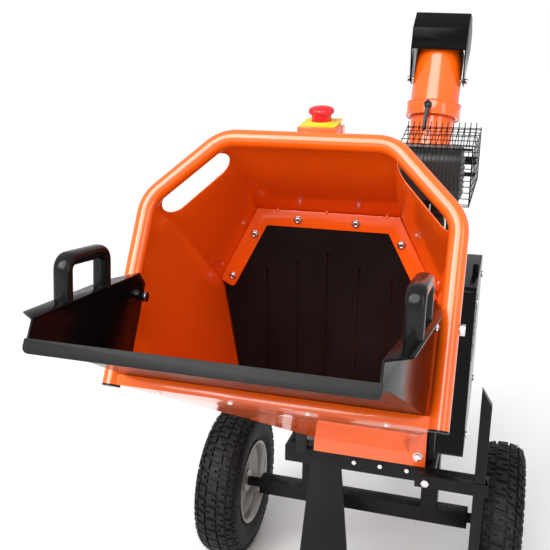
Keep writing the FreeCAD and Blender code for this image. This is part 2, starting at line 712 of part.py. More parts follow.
def fuel_tank():
    tank = box(-110, 98, 655, 800, 1012, 1096)
    tank = tank.makeFillet(22, [e for e in tank.Edges if abs(e.Vertexes[0].Z - e.Vertexes[1].Z) > 10])
    top_edges = [e for e in tank.Edges if min(v.Z for v in e.Vertexes) > 1095]
    tank = tank.makeFillet(12, top_edges)
    bracket = box(-46, 6, 665, 720, 985, 1012)
    return tank.fuse(bracket)


def fuel_cap():
    return rod(V(60, 730, 1096.3), Z_DIR, 27, 22)


def air_filter():
    body = box(-112, 16, 530, 590, 936, 1054)
    body = body.makeFillet(16, [e for e in body.Edges if abs(e.Vertexes[0].Y - e.Vertexes[1].Y) > 10])
    duct = box(16, 60, 560, 586, 950, 978)
    outlet = box(40, 60, 586, 600, 950, 978)
    return body.fuse([duct, outlet]).cut(box(26, 62, 592, 700, 900, 985))


def muffler():
    shell = box(112, 236, 596, 706, 1010, 1119)
    shell = shell.makeFillet(26, [e for e in shell.Edges if abs(e.Vertexes[0].X - e.Vertexes[1].X) > 10
                                  and e.Vertexes[0].Z > 1100])
    neck = rod(V(135, 660, 1004), Z_DIR, 17, 8)
    return shell.fuse(neck)


def muffler_guard():
    """Folded welded mesh: sloping top, back and right side, open at the lower front."""
    wire = 3.0
    x0, x1 = 104.0, 262.0
    fold, rear = 588.0, 728.0
    low, high = 1124.0, 1157.0
    top = prism_x([(fold, low), (rear, high), (rear, high + wire), (fold, low + wire)], x0, x1)
    back = box(x0, x1, rear - wire, rear, 1075, high + wire)
    side = prism_x([(575, 1008), (575, low), (fold, low + wire), (rear, high + wire), (rear, 1046)],
                   x1 - wire, x1)
    corner = box(237, x1, 575, 575 + wire, 1008, low)
    leg = box(236.3, x1, 722, 725, 1075, 1095)
    stay = box(226, x1, 710, 725, 1050, 1060)
    return top.fuse([back, side, corner, leg, stay])


def throttle_lever():
    hub = rod(V(-20, 638, 985.3), Z_DIR, 9, 8)
    arm = box(-24, -16, 600, 636, 987, 991)
    knob = rod(V(-20, 602, 985.5), Z_DIR, 7, 14)
    return hub.fuse([arm, knob])


def engine_switch():
    body = rod(V(-72.3, CRANK_Y + 30, CRANK_Z + 50), -X_DIR, 11, 8)
    bar = box(-88, -80, CRANK_Y + 27, CRANK_Y + 33, CRANK_Z + 39, CRANK_Z + 61)
    return body.fuse(bar)


def chute_place(shape):
    """Moves a shape from the leaning chute frame to its place."""
    turn = FreeCAD.Rotation(Z_DIR, CHUTE_AXIS)
    placed = shape.copy()
    placed.Placement = FreeCAD.Placement(COLLAR_POINT, turn)
    return placed


def discharge_duct():
    axis = V(CHUTE_AXIS)
    corner = COLLAR_POINT - axis * ((COLLAR_POINT.z - 653) / axis.z)
    axis.normalize()
    points = [V(corner.x, OUTLET_Y + PLATE, corner.z), corner, COLLAR_POINT + axis * 40]
    outer = sweep(points, 64, LOWER_PIPE_R)
    inner = sweep(points, 64, LOWER_PIPE_R - 3)
    flange = box(58, 186, OUTLET_Y + PLATE, OUTLET_Y + 2 * PLATE, 590, 712)
    return outer.fuse(flange).cut(inner)


def swivel_chute():
    pipe = rod(V(0, 0, -2), Z_DIR, UPPER_PIPE_R, 200)
    collar = rod(V(0, 0, -2), Z_DIR, COLLAR_R, 32)
    bore = rod(V(0, 0, -3), Z_DIR, UPPER_PIPE_R - 3, 300)
    slant = prism_x([(-80, 200), (80, 200), (80, 120), (62, 120)], -90, 90)
    body = pipe.fuse(collar).cut([bore, slant])
    return chute_place(body)


def chute_lever():
    hub = rod(V(-8, -COLLAR_R - 0.5, 16), -Y_DIR, 9, 14)
    arm = box(-13, -3, -COLLAR_R - 14, -COLLAR_R - 6, -48, 16)
    return chute_place(hub.fuse(arm))


def chute_deflector():
    """Hood over the pipe's mouth, carried by two side arms."""
    plates = []
    outline = [(-20, 82), (14, 82), (34, 130), (96, 196), (86, 236), (20, 258), (-40, 248), (-76, 200),
               (-68, 150)]
    for side in (-1, 1):
        x0 = side * 63 if side > 0 else -66
        plates.append(prism_x(outline, x0, x0 + 3))
    crown = []
    route = [(96, 196), (86, 236), (20, 258), (-40, 248), (-76, 200), (-68, 150)]
    inner = [(92, 194), (83, 233), (20, 254.5), (-38, 244.6), (-72, 199), (-64.5, 151)]
    for k in range(1, len(route) - 1):
        ring = [route[k], route[k + 1], inner[k + 1], inner[k]]
        crown.append(prism_x(ring, -66, 66))
    hood = plates[0].fuse([plates[1]] + crown)
    holes = rod(V(-80, 0, 93), X_DIR, 4.05, 160)
    return chute_place(hood.cut(holes))


def deflector_bolts():
    pieces = []
    for side in (-1, 1):
        direction = V(side, 0, 0)
        shank = rod(V(side * (UPPER_PIPE_R - 0.5), 0, 93), direction, 4, 14)
        shank = shank.cut(rod(V(0, 0, 0), Z_DIR, UPPER_PIPE_R, 300))
        nut = hexagon_head(V(side * 66.4, 0, 93), direction, 13, 8)
        pieces.append(chute_place(shank.fuse(nut)))
    return Part.makeCompound(pieces)


def chassis_frame():
    rails = [box(x, x + RAIL, RAIL_Y0, RAIL_Y1, RAIL_Z0, RAIL_Z1) for x in (LEFT_RAIL_X, RIGHT_RAIL_X)]
    bars = [box(LEFT_RAIL_X, RIGHT_RAIL_X + RAIL, y, y + RAIL, RAIL_Z0, RAIL_Z1)
            for y in (RAIL_Y0, RAIL_Y1 - RAIL)]
    carriers = [box(x, x + RAIL, AXLE_Y - 30, AXLE_Y + 30, 220, RAIL_Z0) for x in (LEFT_RAIL_X, RIGHT_RAIL_X)]
    posts = []
    for x in (LEFT_RAIL_X + 8, RIGHT_RAIL_X + 8):
        for y in (540, 731):
            posts.append(box(x, x + 24, y, y + 24, RAIL_Z1, 715))
    deck = box(LEFT_RAIL_X, RIGHT_RAIL_X + RAIL, 540, 755, 715, DECK_Z)
    outrigger = box(RIGHT_RAIL_X + RAIL, 350, 466, 506, 405, RAIL_Z1)
    knee = box(RIGHT_RAIL_X, RIGHT_RAIL_X + RAIL, 466, RAIL_Y0, 405, RAIL_Z1)
    sleeve_hole = box(319.9, 343.1, 466.9, 490.1, 300, 500)
    leg = prism_y([(-50, RAIL_Z0), (22, RAIL_Z0), (58, 6), (-86, 6)], RAIL_Y0 + 10, RAIL_Y0 + 18)
    foot = box(-96, 68, RAIL_Y0 - 20, RAIL_Y0 + 48, 0, 6)
    body = rails[0].fuse([rails[1]] + bars + carriers + posts + [deck, outrigger, knee, leg, foot])
    return body.cut(sleeve_hole)


def side_prop():
    tube = prism_y([(320, 110), (343, 110), (343, 614), (320, 650)], 467, 490)
    pad = box(306, 357, 452, 505, 104, 110)
    return tube.fuse(pad)


def wheel_axle():
    beam = box(-230, 310, AXLE_Y - 20, AXLE_Y + 20, 180, 220)
    stubs = [rod(V(-230, AXLE_Y, WHEEL_R), -X_DIR, 12.5, 124), rod(V(310, AXLE_Y, WHEEL_R), X_DIR, 12.5, 124)]
    return beam.fuse(stubs)


def tyre(centre_x):
    half = TYRE_WIDTH / 2
    outline = rod(V(centre_x - half, AXLE_Y, WHEEL_R), X_DIR, WHEEL_R, TYRE_WIDTH)
    rims = [e for e in outline.Edges if abs(e.Length - 2 * math.pi * WHEEL_R) < 1]
    outline = outline.makeFillet(26, rims)
    return outline.cut(rod(V(centre_x - half - 1, AXLE_Y, WHEEL_R), X_DIR, 101, TYRE_WIDTH + 2))


def rim(centre_x):
    barrel = rod(V(centre_x - 45, AXLE_Y, WHEEL_R), X_DIR, 101, 90)
    hollow = rod(V(centre_x - 46, AXLE_Y, WHEEL_R), X_DIR, 96, 92)
    disc = rod(V(centre_x - 4, AXLE_Y, WHEEL_R), X_DIR, 97, 6)
    hub = rod(V(centre_x - 34, AXLE_Y, WHEEL_R), X_DIR, 26, 68)
    bore = rod(V(centre_x - 60, AXLE_Y, WHEEL_R), X_DIR, 12.55, 120)
    return barrel.cut(hollow).fuse([disc, hub]).cut(bore)


def hub_nuts():
    pieces = []
    for centre_x, side in ((LEFT_WHEEL_X, -1), (RIGHT_WHEEL_X, 1)):
        direction = V(side, 0, 0)
        nut = hexagon_head(V(centre_x + side * 35, AXLE_Y, WHEEL_R), direction, 30, 14)
        pieces.append(nut.cut(rod(V(centre_x - 60, AXLE_Y, WHEEL_R), X_DIR, 12.5, 120)))
    return Part.makeCompound(pieces)


def drawbar():
    tube = box(DRAWBAR_X - 25, DRAWBAR_X + 25, RAIL_Y1, DRAWBAR_END, 390, 440)
    bore = box(DRAWBAR_X - 22, DRAWBAR_X + 22, RAIL_Y1 + 4, DRAWBAR_END + 1, 393, 437)
    sleeve = box(DRAWBAR_X + 25, DRAWBAR_X + 63, 1210, 1248, 330, 440)
    slot = box(DRAWBAR_X + 28.9, DRAWBAR_X + 59.1, 1213.9, 1244.1, 300, 500)
    return tube.cut(bore).fuse(sleeve).cut(slot)


def rear_stand():
    x0 = DRAWBAR_X + 29
    leg = box(x0, x0 + 30, 1214, 1244, 6, 560)
    pad = box(x0 - 30, x0 + 60, 1184, 1274, 0, 6)
    return leg.fuse(pad)


def tow_coupling():
    body = box(DRAWBAR_X - 22, DRAWBAR_X + 22, DRAWBAR_END - 60, DRAWBAR_END + 30, 393, 437)
    head = box(DRAWBAR_X - 34, DRAWBAR_X + 34, DRAWBAR_END + 20, DRAWBAR_END + 95, 395, 455)
    socket = rod(V(DRAWBAR_X, DRAWBAR_END + 62, 380), Z_DIR, 25.2, 40)
    return body.fuse(head).cut(socket)


def coupling_latch():
    y = DRAWBAR_END + 40
    lever = prism_x([(y - 8, 456), (y + 12, 456), (y + 12, 470), (y - 90, 486), (y - 92, 476), (y - 8, 466)],
                    DRAWBAR_X - 14, DRAWBAR_X + 14)
    return lever


def build():
    pieces = {
        "hopper_funnel": hopper_funnel(),
        "hopper_loop_tube": hopper_loop_tube(),
        "tube_end_caps": tube_end_caps(),
        "lower_cross_tube": lower_cross_tube(),
        "curtain_flange": curtain_flange(),
        "hopper_screws": hopper_screws(),
        "curtain_header": curtain_header(),
        "infeed_chute": infeed_chute(),
        "machine_fasteners": machine_fasteners(),
        "infeed_knob": infeed_knob(),
        "estop_box": estop_box(),
        "estop_plate": estop_plate(),
        "estop_button": estop_button(),
        "feed_tray": feed_tray(),
        "tray_handles": Part.makeCompound([tray_handle(-1), tray_handle(1)]),
        "tray_pivot_bolts": tray_pivot_bolts(),
        "rotor_housing": rotor_housing(),
        "chipper_drum": chipper_drum(),
        "drum_knives": drum_knives(),
        "drum_bearings": drum_bearings(),
        "counter_knife": counter_knife(),
        "drum_pulley": pulley(DRUM_Y, DRUM_Z, DRUM_PULLEY_R, SHAFT_R),
        "engine_pulley": pulley(CRANK_Y, CRANK_Z, ENGINE_PULLEY_R, CRANK_R),
        "drive_belt": drive_belt(),
        "guard_back_plate": guard_back_plate(),
        "guard_cover": guard_cover(),
        "engine_block": engine_block(),
        "crankshaft": crankshaft(),
        "fan_housing": fan_housing(),
        "recoil_handle": recoil_handle(),
        "fuel_tank": fuel_tank(),
        "fuel_cap": fuel_cap(),
        "air_filter": air_filter(),
        "muffler": muffler(),
        "muffler_guard": muffler_guard(),
        "throttle_lever": throttle_lever(),
        "engine_switch": engine_switch(),
        "discharge_duct": discharge_duct(),
        "swivel_chute": swivel_chute(),
        "chute_lever": chute_lever(),
        "chute_deflector": chute_deflector(),
        "deflector_bolts": deflector_bolts(),
        "chassis_frame": chassis_frame(),
        "side_prop": side_prop(),
        "wheel_axle": wheel_axle(),
        "left_tyre": tyre(LEFT_WHEEL_X),
        "right_tyre": tyre(RIGHT_WHEEL_X),
        "left_rim": rim(LEFT_WHEEL_X),
        "right_rim": rim(RIGHT_WHEEL_X),
        "hub_nuts": hub_nuts(),
        "drawbar": drawbar(),
        "rear_stand": rear_stand(),
        "tow_coupling": tow_coupling(),
        "coupling_latch": coupling_latch(),
    }
    for number in range(len(SLITS) + 1):
        pieces["curtain_flap_%d" % (number + 1)] = curtain_flap(number)
    return pieces


os.makedirs("parts", exist_ok=True)
for name, shape in build().items():
    shape.translate(V(-ORIGIN_X, -ORIGIN_Y, 0))
    shape.exportStep("parts/%s.step" % name)
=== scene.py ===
import math

import bmesh
import bpy
from mathutils import Matrix, Vector


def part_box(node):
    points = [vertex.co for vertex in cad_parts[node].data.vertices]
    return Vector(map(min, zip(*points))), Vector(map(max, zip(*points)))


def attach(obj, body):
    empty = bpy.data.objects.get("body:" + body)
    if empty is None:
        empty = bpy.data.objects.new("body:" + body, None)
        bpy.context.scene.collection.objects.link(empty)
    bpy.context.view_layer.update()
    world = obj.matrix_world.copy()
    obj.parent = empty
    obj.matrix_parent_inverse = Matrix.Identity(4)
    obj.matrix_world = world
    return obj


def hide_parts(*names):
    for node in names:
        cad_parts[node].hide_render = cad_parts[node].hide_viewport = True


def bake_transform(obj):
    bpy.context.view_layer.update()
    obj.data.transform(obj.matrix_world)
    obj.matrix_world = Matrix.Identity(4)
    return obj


# Looks of a towable wood chipper, built round its CAD frame.
# Metres in the row frame; the shapes are written in millimetres of the design frame, whose zero is on
# the ground under the middle of the mouth's lower edge, and place() moves them to the row frame.
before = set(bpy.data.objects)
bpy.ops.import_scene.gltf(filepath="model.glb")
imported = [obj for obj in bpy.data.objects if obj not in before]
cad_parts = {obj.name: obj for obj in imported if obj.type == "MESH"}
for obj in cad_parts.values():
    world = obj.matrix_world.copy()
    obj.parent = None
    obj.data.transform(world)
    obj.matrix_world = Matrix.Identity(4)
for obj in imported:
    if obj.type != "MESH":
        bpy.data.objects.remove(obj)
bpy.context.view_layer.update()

MM = 0.001
AXLE_Y = 700.0
MOUTH_HEIGHT = 785.0
MOUTH_TILT = math.radians(30.4)
loop_low, loop_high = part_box("hopper_loop_tube")
axle_low, axle_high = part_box("wheel_axle")
ORIGIN = Vector(((loop_low.x + loop_high.x) / 2, (axle_low.y + axle_high.y) / 2 - AXLE_Y * MM, 0))

X = Vector((1, 0, 0))
Y = Vector((0, 1, 0))
Z = Vector((0, 0, 1))


def place(x, y, z):
    """Point of the design frame, in the row frame."""
    return ORIGIN + Vector((x, y, z)) * MM


def mouth(x, v, n):
    """Point across, up and out of the leaning plane of the hopper's mouth."""
    sine, cosine = math.sin(MOUTH_TILT), math.cos(MOUTH_TILT)
    return place(x, v * sine - n * cosine, MOUTH_HEIGHT + v * cosine + n * sine)


# ---------------------------------------------------------------- mesh building
# Degrees: edges sharper than the first are rounded and shaded sharp, CAD facets under the second join.
EDGE_ANGLE = 38
FLAT_ANGLE = 0.5
# Metres: points closer than this are one point, in the pieces made here and in the CAD meshes.
SAME_POINT = 2e-6
SAME_CAD_POINT = 3e-6


class Shape:
    """Vertices in the row frame and faces, collected before a piece is made."""

    def __init__(self):
        self.verts = []
        self.faces = []

    def add(self, verts, faces):
        base = len(self.verts)
        self.verts += [Vector(v) for v in verts]
        self.faces += [[base + i for i in face] for face in faces]
        return self

    def merge(self, *others):
        for other in others:
            self.add(other.verts, other.faces)
        return self


def rings_shape(rings, wrap=True, loop=False):
    """Skin over rings with the same number of points; an open row of rings gets a cap at each end."""
    count, size = len(rings), len(rings[0])
    faces = []
    for i in range(count if loop else count - 1):
        j = (i + 1) % count
        for k in range(size if wrap else size - 1):
            m = (k + 1) % size
            faces.append([i * size + k, i * size + m, j * size + m, j * size + k])
    if not loop:
        faces.append(list(range(size))[::-1])
        faces.append([(count - 1) * size + k for k in range(size)])
    return Shape().add([p for ring in rings for p in ring], faces)


def side_of(direction):
    """A unit vector square to direction."""
    helper = Z if abs(direction.normalized().z) < 0.9 else X
    return direction.cross(helper).normalized()


def spokes(count, u, v, start=0.0):
    """Unit vectors spread evenly round a circle, from u towards v."""
    angles = [start + 2 * math.pi * k / count for k in range(count)]
    return [u * math.cos(angle) + v * math.sin(angle) for angle in angles]


def circle(centre, axis, radius, steps):
    u = side_of(axis)
    return [centre + out * radius for out in spokes(steps, u, axis.normalized().cross(u))]


def revolve(profile, centre, axis, steps=40, closed=False):
    """Profile of (radius, height) in millimetres, turned about an axis through centre."""
    axis = axis.normalized()
    u = side_of(axis)
    rings = [[centre + axis * (h * MM) + out * (r * MM) for r, h in profile]
             for out in spokes(steps, u, axis.cross(u))]
    return rings_shape(rings, wrap=closed, loop=True)


def ridged(profile, centre, axes, steps, ridge):
    """Profile turned about the third of the axes, with ridge(k, r, h) taken off its radius."""
    u, v, up = axes
    rings = [[centre + up * (h * MM) + out * ((r - ridge(k, r, h)) * MM) for r, h in profile]
             for k, out in enumerate(spokes(steps, u, v))]
    return rings_shape(rings, wrap=False, loop=True)


def tube(points, radius, sides=8, closed=False):
    """Round bar along points; radius in millimetres, or one value for each point."""
    count = len(points)
    radii = radius if isinstance(radius, (list, tuple)) else [radius] * count
    rings = []
    side = None
    for i in range(count):
        before = points[i - 1] if i or closed else points[0]
        after = points[(i + 1) % count] if i < count - 1 or closed else points[-1]
        along = (after - before).normalized()
        side = side_of(along) if side is None else (side - along * side.dot(along)).normalized()
        rings.append([points[i] + out * (radii[i] * MM)
                      for out in spokes(sides, side, along.cross(side))])
    return rings_shape(rings, loop=closed)


def rounded_route(points, radius, steps=5):
    """Straight runs joined by arcs; radius in millimetres."""
    route = [points[0]]
    for k in range(1, len(points) - 1):
        before = (points[k - 1] - points[k]).normalized()
        after = (points[k + 1] - points[k]).normalized()
        half = before.angle(after) / 2
        reach = radius * MM / math.tan(half)
        centre = points[k] + (before + after).normalized() * (radius * MM / math.sin(half))
        first = (points[k] + before * reach - centre).normalized()
        last = (points[k] + after * reach - centre).normalized()
        for s in range(steps + 1):
            route.append(centre + first.slerp(last, s / steps) * (radius * MM))
    route.append(points[-1])
    return route


def rounded_outline(x0, x1, y0, y1, radius, steps=4):
    """Rectangle with round corners, in millimetres; radius is one value or one for each corner."""
    corners = [Vector(spot) for spot in ((x0, y0), (x1, y0), (x1, y1), (x0, y1))]
    outline = []
    for k in range(4):
        here = corners[k]
        before = (corners[k - 1] - here).normalized()
        after = (corners[(k + 1) % 4] - here).normalized()
        half = before.angle(after) / 2
        size = radius[k] if isinstance(radius, (list, tuple)) else radius
        if size < 0.01:
            outline.append((here.x, here.y))
            continue
        reach = size / math.tan(half)
        centre = here + (before + after).normalized() * (size / math.sin(half))
        start = here + before * reach - centre
        turn = start.angle_signed(here + after * reach - centre)
        for s in range(steps + 1):
            angle = -turn * s / steps
            spot = centre + Matrix.Rotation(angle, 2) @ start
            outline.append((spot.x, spot.y))
    return outline


def extrude(ring, push):
    """Flat ring of points pushed along a vector."""
    return rings_shape([list(ring), [p + push for p in ring]])


def slab(x0, x1, y0, y1, z0, z1):
    """Block in design millimetres; its piece gets its edges from a bevel."""
    ring = [place(x0, y0, z0), place(x1, y0, z0), place(x1, y1, z0), place(x0, y1, z0)]
    return extrude(ring, Z * ((z1 - z0) * MM))


def round_slab(x0, x1, y0, y1, z, height, radius, steps):
    """Block with round upright corners, in design millimetres."""
    outline = rounded_outline(x0, x1, y0, y1, radius, steps)
    return extrude([place(x, y, z) for x, y in outline], Z * (height * MM))


def hexagon(centre, axis, across, height):
    """Bolt head or nut with a chamfered crown."""
    radius = across / math.sqrt(3)
    rings = [circle(centre + axis * (h * MM), axis, r * MM, 6)
             for r, h in ((radius, 0), (radius, height * 0.8), (radius * 0.86, height))]
    return rings_shape(rings)


def dome_screw(centre, axis, radius, height):
    """Button head with a hexagon socket."""
    profile = [(radius, 0), (radius, height * 0.15)]
    for k in range(1, 7):
        angle = math.radians(12 * k)
        profile.append((radius * (0.42 + 0.58 * math.cos(angle)),
                        height * (0.15 + 0.88 * math.sin(angle))))
    profile += [(radius * 0.5, height), (radius * 0.44, height * 0.5), (0.001, height * 0.45)]
    return revolve(profile, centre, axis, 24)


smooth_groups = {}


def smooth_group(angle):
    """Node group that shades smooth except across edges sharper than the angle."""
    if angle not in smooth_groups:
        group = bpy.data.node_groups.new("smooth_%d" % angle, "GeometryNodeTree")
        for way in ("INPUT", "OUTPUT"):
            group.interface.new_socket("Geometry", in_out=way, socket_type="NodeSocketGeometry")
        nodes, links = group.nodes, group.links
        start, end = nodes.new("NodeGroupInput"), nodes.new("NodeGroupOutput")
        faces, edges = nodes.new("GeometryNodeSetShadeSmooth"), nodes.new("GeometryNodeSetShadeSmooth")
        faces.domain, edges.domain = "FACE", "EDGE"
        edges.inputs["Shade Smooth"].default_value = False
        between = nodes.new("GeometryNodeInputMeshEdgeAngle")
        test = nodes.new("FunctionNodeCompare")
        test.operation = "GREATER_THAN"
        test.inputs[1].default_value = math.radians(angle)
        links.new(start.outputs[0], faces.inputs["Geometry"])
        links.new(faces.outputs[0], edges.inputs["Geometry"])
        links.new(between.outputs["Unsigned Angle"], test.inputs[0])
        links.new(test.outputs[0], edges.inputs["Selection"])
        links.new(edges.outputs[0], end.inputs[0])
        smooth_groups[angle] = group
    return smooth_groups[angle]


def dress(obj, bevel, sharp):
    """Rounded edges, bevel in millimetres, then smooth shading."""
    if bevel:
        edge = obj.modifiers.new("edges", "BEVEL")
        edge.width = bevel * MM
        edge.segments = 2
        edge.limit_method = "ANGLE"
        edge.angle_limit = math.radians(EDGE_ANGLE)
        edge.use_clamp_overlap = False
    shade = obj.modifiers.new("shade", "NODES")
    shade.node_group = smooth_group(sharp)


def piece(name, shape, look, body, replaces=(), bevel=0.0, sharp=EDGE_ANGLE, ride=True):
    """An object made from a shape; bevel in millimetres, sharp in degrees."""
    mesh = bpy.data.meshes.new(name)
    mesh.from_pydata([tuple(v) for v in shape.verts], [], shape.faces)
    work = bmesh.new()
    work.from_mesh(mesh)
    bmesh.ops.remove_doubles(work, verts=work.verts, dist=SAME_POINT)
    bmesh.ops.recalc_face_normals(work, faces=work.faces)
    work.to_mesh(mesh)
    work.free()
    mesh.materials.append(look)
    obj = bpy.data.objects.new(name, mesh)
    bpy.context.scene.collection.objects.link(obj)
    dress(obj, bevel, sharp)
    if ride:
        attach(obj, body)
    if replaces:
        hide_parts(*replaces)
    return obj


def finish_node(name, look, bevel):
    """A CAD node that stays: its own mesh with a finish, rounded edges and smooth curves."""
    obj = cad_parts[name]
    mesh = obj.data
    if "custom_normal" in mesh.attributes:
        mesh.attributes.remove(mesh.attributes["custom_normal"])
    mesh.materials.clear()
    mesh.materials.append(look)
    weld = obj.modifiers.new("weld", "WELD")
    weld.merge_threshold = SAME_CAD_POINT
    if bevel:
        flat = obj.modifiers.new("flat", "DECIMATE")
        flat.decimate_type = "DISSOLVE"
        flat.angle_limit = math.radians(FLAT_ANGLE)
    dress(obj, bevel, EDGE_ANGLE)


# ---------------------------------------------------------------- materials
DUST_COLOUR = (0.42, 0.38, 0.33, 1)


def surface(name, dark, light, rough, metallic=0.0, coat=0.0, coat_rough=0.08, specular=0.5,
            patch=4.0, grain=300.0, bump=0.1, depth=0.2, stretch=(1, 1, 1), dust=0.0):
    """Colour varies in patches between dark and light, roughness between rough's two values,
    and fine grain of the given scale and depth in millimetres bumps the surface."""
    look = bpy.data.materials.new(name)
    look.use_nodes = True
    nodes, links = look.node_tree.nodes, look.node_tree.links

    def fill(node, values):
        for socket, value in values.items():
            node.inputs[socket].default_value = value
        return node

    def add(kind, **values):
        """A new node; an underscore in a socket's name stands for a space."""
        return fill(nodes.new("ShaderNode" + kind), {k.replace("_", " "): values[k] for k in values})

    def noise(source, **values):
        made = add("TexNoise", **values)
        links.new(source, made.inputs["Vector"])
        return made.outputs["Fac"]

    def remap(source, **values):
        made = add("MapRange", **values)
        links.new(source, made.inputs["Value"])
        return made.outputs["Result"]

    shader = fill(nodes["Principled BSDF"], {
        "Metallic": metallic, "Coat Weight": coat, "Coat Roughness": coat_rough,
        "Specular IOR Level": specular})
    spot = nodes.new("ShaderNodeTexCoord").outputs["Object"]
    mapping = add("Mapping", Scale=stretch)
    links.new(spot, mapping.inputs["Vector"])
    scaled = mapping.outputs["Vector"]

    tone = nodes.new("ShaderNodeValToRGB")
    for stop, (position, shade) in enumerate(((0.3, dark), (0.7, light))):
        tone.color_ramp.elements[stop].position = position
        tone.color_ramp.elements[stop].color = (*shade, 1)
    links.new(noise(scaled, Scale=patch, Detail=6, Roughness=0.6), tone.inputs["Fac"])
    colour = tone.outputs["Color"]

    if dust:
        split = nodes.new("ShaderNodeSeparateXYZ")
        links.new(nodes.new("ShaderNodeNewGeometry").outputs["Normal"], split.inputs["Vector"])
        amount = remap(noise(spot, Scale=60, Detail=8), From_Min=0.45, From_Max=0.75, To_Max=dust)
        settle = nodes.new("ShaderNodeMath")
        settle.operation = "MULTIPLY"
        settle.use_clamp = True
        links.new(split.outputs["Z"], settle.inputs[0])
        links.new(amount, settle.inputs[1])
        mix = nodes.new("ShaderNodeMix")
        mix.data_type = "RGBA"
        mix.inputs["B"].default_value = DUST_COLOUR
        links.new(settle.outputs["Value"], mix.inputs["Factor"])
        links.new(colour, mix.inputs["A"])
        colour = mix.outputs["Result"]
    links.new(colour, shader.inputs["Base Color"])

    worn = noise(scaled, Scale=patch * 9, Detail=4)
    links.new(remap(worn, From_Min=0.3, From_Max=0.7, To_Min=rough[0], To_Max=rough[1]),
              shader.inputs["Roughness"])
    relief = add("Bump", Strength=bump, Distance=depth * MM)
    links.new(noise(scaled, Scale=grain, Detail=3), relief.inputs["Height"])
    links.new(relief.outputs["Normal"], shader.inputs["Normal"])
    return look


ORANGE = surface("orange_powder_coat", (0.90, 0.108, 0.003), (0.96, 0.128, 0.005), (0.2, 0.27), coat=0.7,
                 coat_rough=0.05, patch=3, grain=240, bump=0.045, depth=0.2)
BLACK = surface("black_powder_coat", (0.0025, 0.0025, 0.003), (0.005, 0.005, 0.0055), (0.14, 0.24),
                specular=0.08, patch=5, grain=420, bump=0.08, depth=0.2)
CHASSIS = surface("black_chassis_paint", (0.003, 0.003, 0.0033), (0.007, 0.007, 0.0073), (0.3, 0.42),
                  specular=0.18, patch=6, grain=350, bump=0.15, depth=0.25, dust=0.05)
# The front hem is the tray's black paint made several times lighter: painted sheen standing in for the light
# the hem reflects.
HEM_PAINTED_SHEEN = surface("hem_painted_sheen_grey", (0.012, 0.012, 0.012), (0.019, 0.019, 0.0185), (0.28, 0.36), specular=0.12,
              patch=14, grain=500, bump=0.03)
PLASTIC = surface("black_moulded_plastic", (0.006, 0.006, 0.0065), (0.012, 0.012, 0.013), (0.12, 0.2),
                  specular=0.22, patch=12, grain=900, bump=0.06, depth=0.12)
RUBBER = surface("curtain_rubber", (0.0030, 0.0020, 0.0018), (0.0065, 0.0046, 0.0042), (0.4, 0.55),
                 specular=0.14, patch=9, grain=700, bump=0.15, depth=0.15)
TYRE = surface("tyre_rubber", (0.004, 0.004, 0.004), (0.009, 0.0087, 0.0085), (0.5, 0.7), specular=0.25,
               patch=22, grain=800, bump=0.3, depth=0.25, dust=0.03)
BELT = surface("belt_rubber", (0.012, 0.012, 0.012), (0.025, 0.025, 0.025), (0.6, 0.75), patch=30,
               grain=900, bump=0.4, depth=0.2)
ZINC = surface("bright_zinc", (0.60, 0.60, 0.61), (0.80, 0.80, 0.80), (0.16, 0.3), metallic=1.0, patch=40,
               grain=700, bump=0.08, depth=0.1)
STEEL = surface("ground_steel", (0.42, 0.42, 0.43), (0.6, 0.6, 0.6), (0.22, 0.4), metallic=1.0, patch=20,
                grain=500, bump=0.15, depth=0.1, stretch=(0.05, 1, 1))
RIM = surface("silver_rim_paint", (0.36, 0.35, 0.33), (0.46, 0.45, 0.43), (0.3, 0.42), metallic=0.6, coat=0.3,
              patch=10, grain=450, bump=0.1, dust=0.08)
CAST = surface("cast_aluminium", (0.30, 0.30, 0.30), (0.42, 0.42, 0.42), (0.42, 0.6), metallic=0.85, patch=14,
               grain=260, bump=0.5, depth=0.4)
IRON = surface("painted_cast_iron", (0.05, 0.05, 0.054), (0.09, 0.09, 0.094), (0.42, 0.6), metallic=0.3,
               patch=14, grain=220, bump=0.5, depth=0.4)
DRUM = surface("machined_drum", (0.16, 0.16, 0.165), (0.24, 0.24, 0.245), (0.3, 0.45), metallic=0.9, patch=10,
               grain=420, bump=0.2, depth=0.15, stretch=(0.1, 1, 1))
RED = surface("red_plastic", (0.62, 0.008, 0.012), (0.72, 0.012, 0.016), (0.22, 0.32), patch=30, grain=800,
              bump=0.08, depth=0.1)
YELLOW = surface("yellow_plastic", (0.85, 0.52, 0.01), (0.92, 0.6, 0.015), (0.3, 0.42), patch=30, grain=800,
                 bump=0.08, depth=0.1)
HEAT = surface("heat_shield_metal", (0.20, 0.20, 0.20), (0.34, 0.34, 0.335), (0.3, 0.5), metallic=0.9,
               patch=18, grain=400, bump=0.25, depth=0.2)
# The muffler's black paint, also used on the belt guard's vent patches, where it is painted shade standing in
# for open holes.
MUFFLER_BLACK_AND_HOLE_SHADE = surface("muffler_black", (0.004, 0.004, 0.004), (0.012, 0.0115, 0.011), (0.35, 0.55), patch=16,
               grain=300, bump=0.25, depth=0.3)


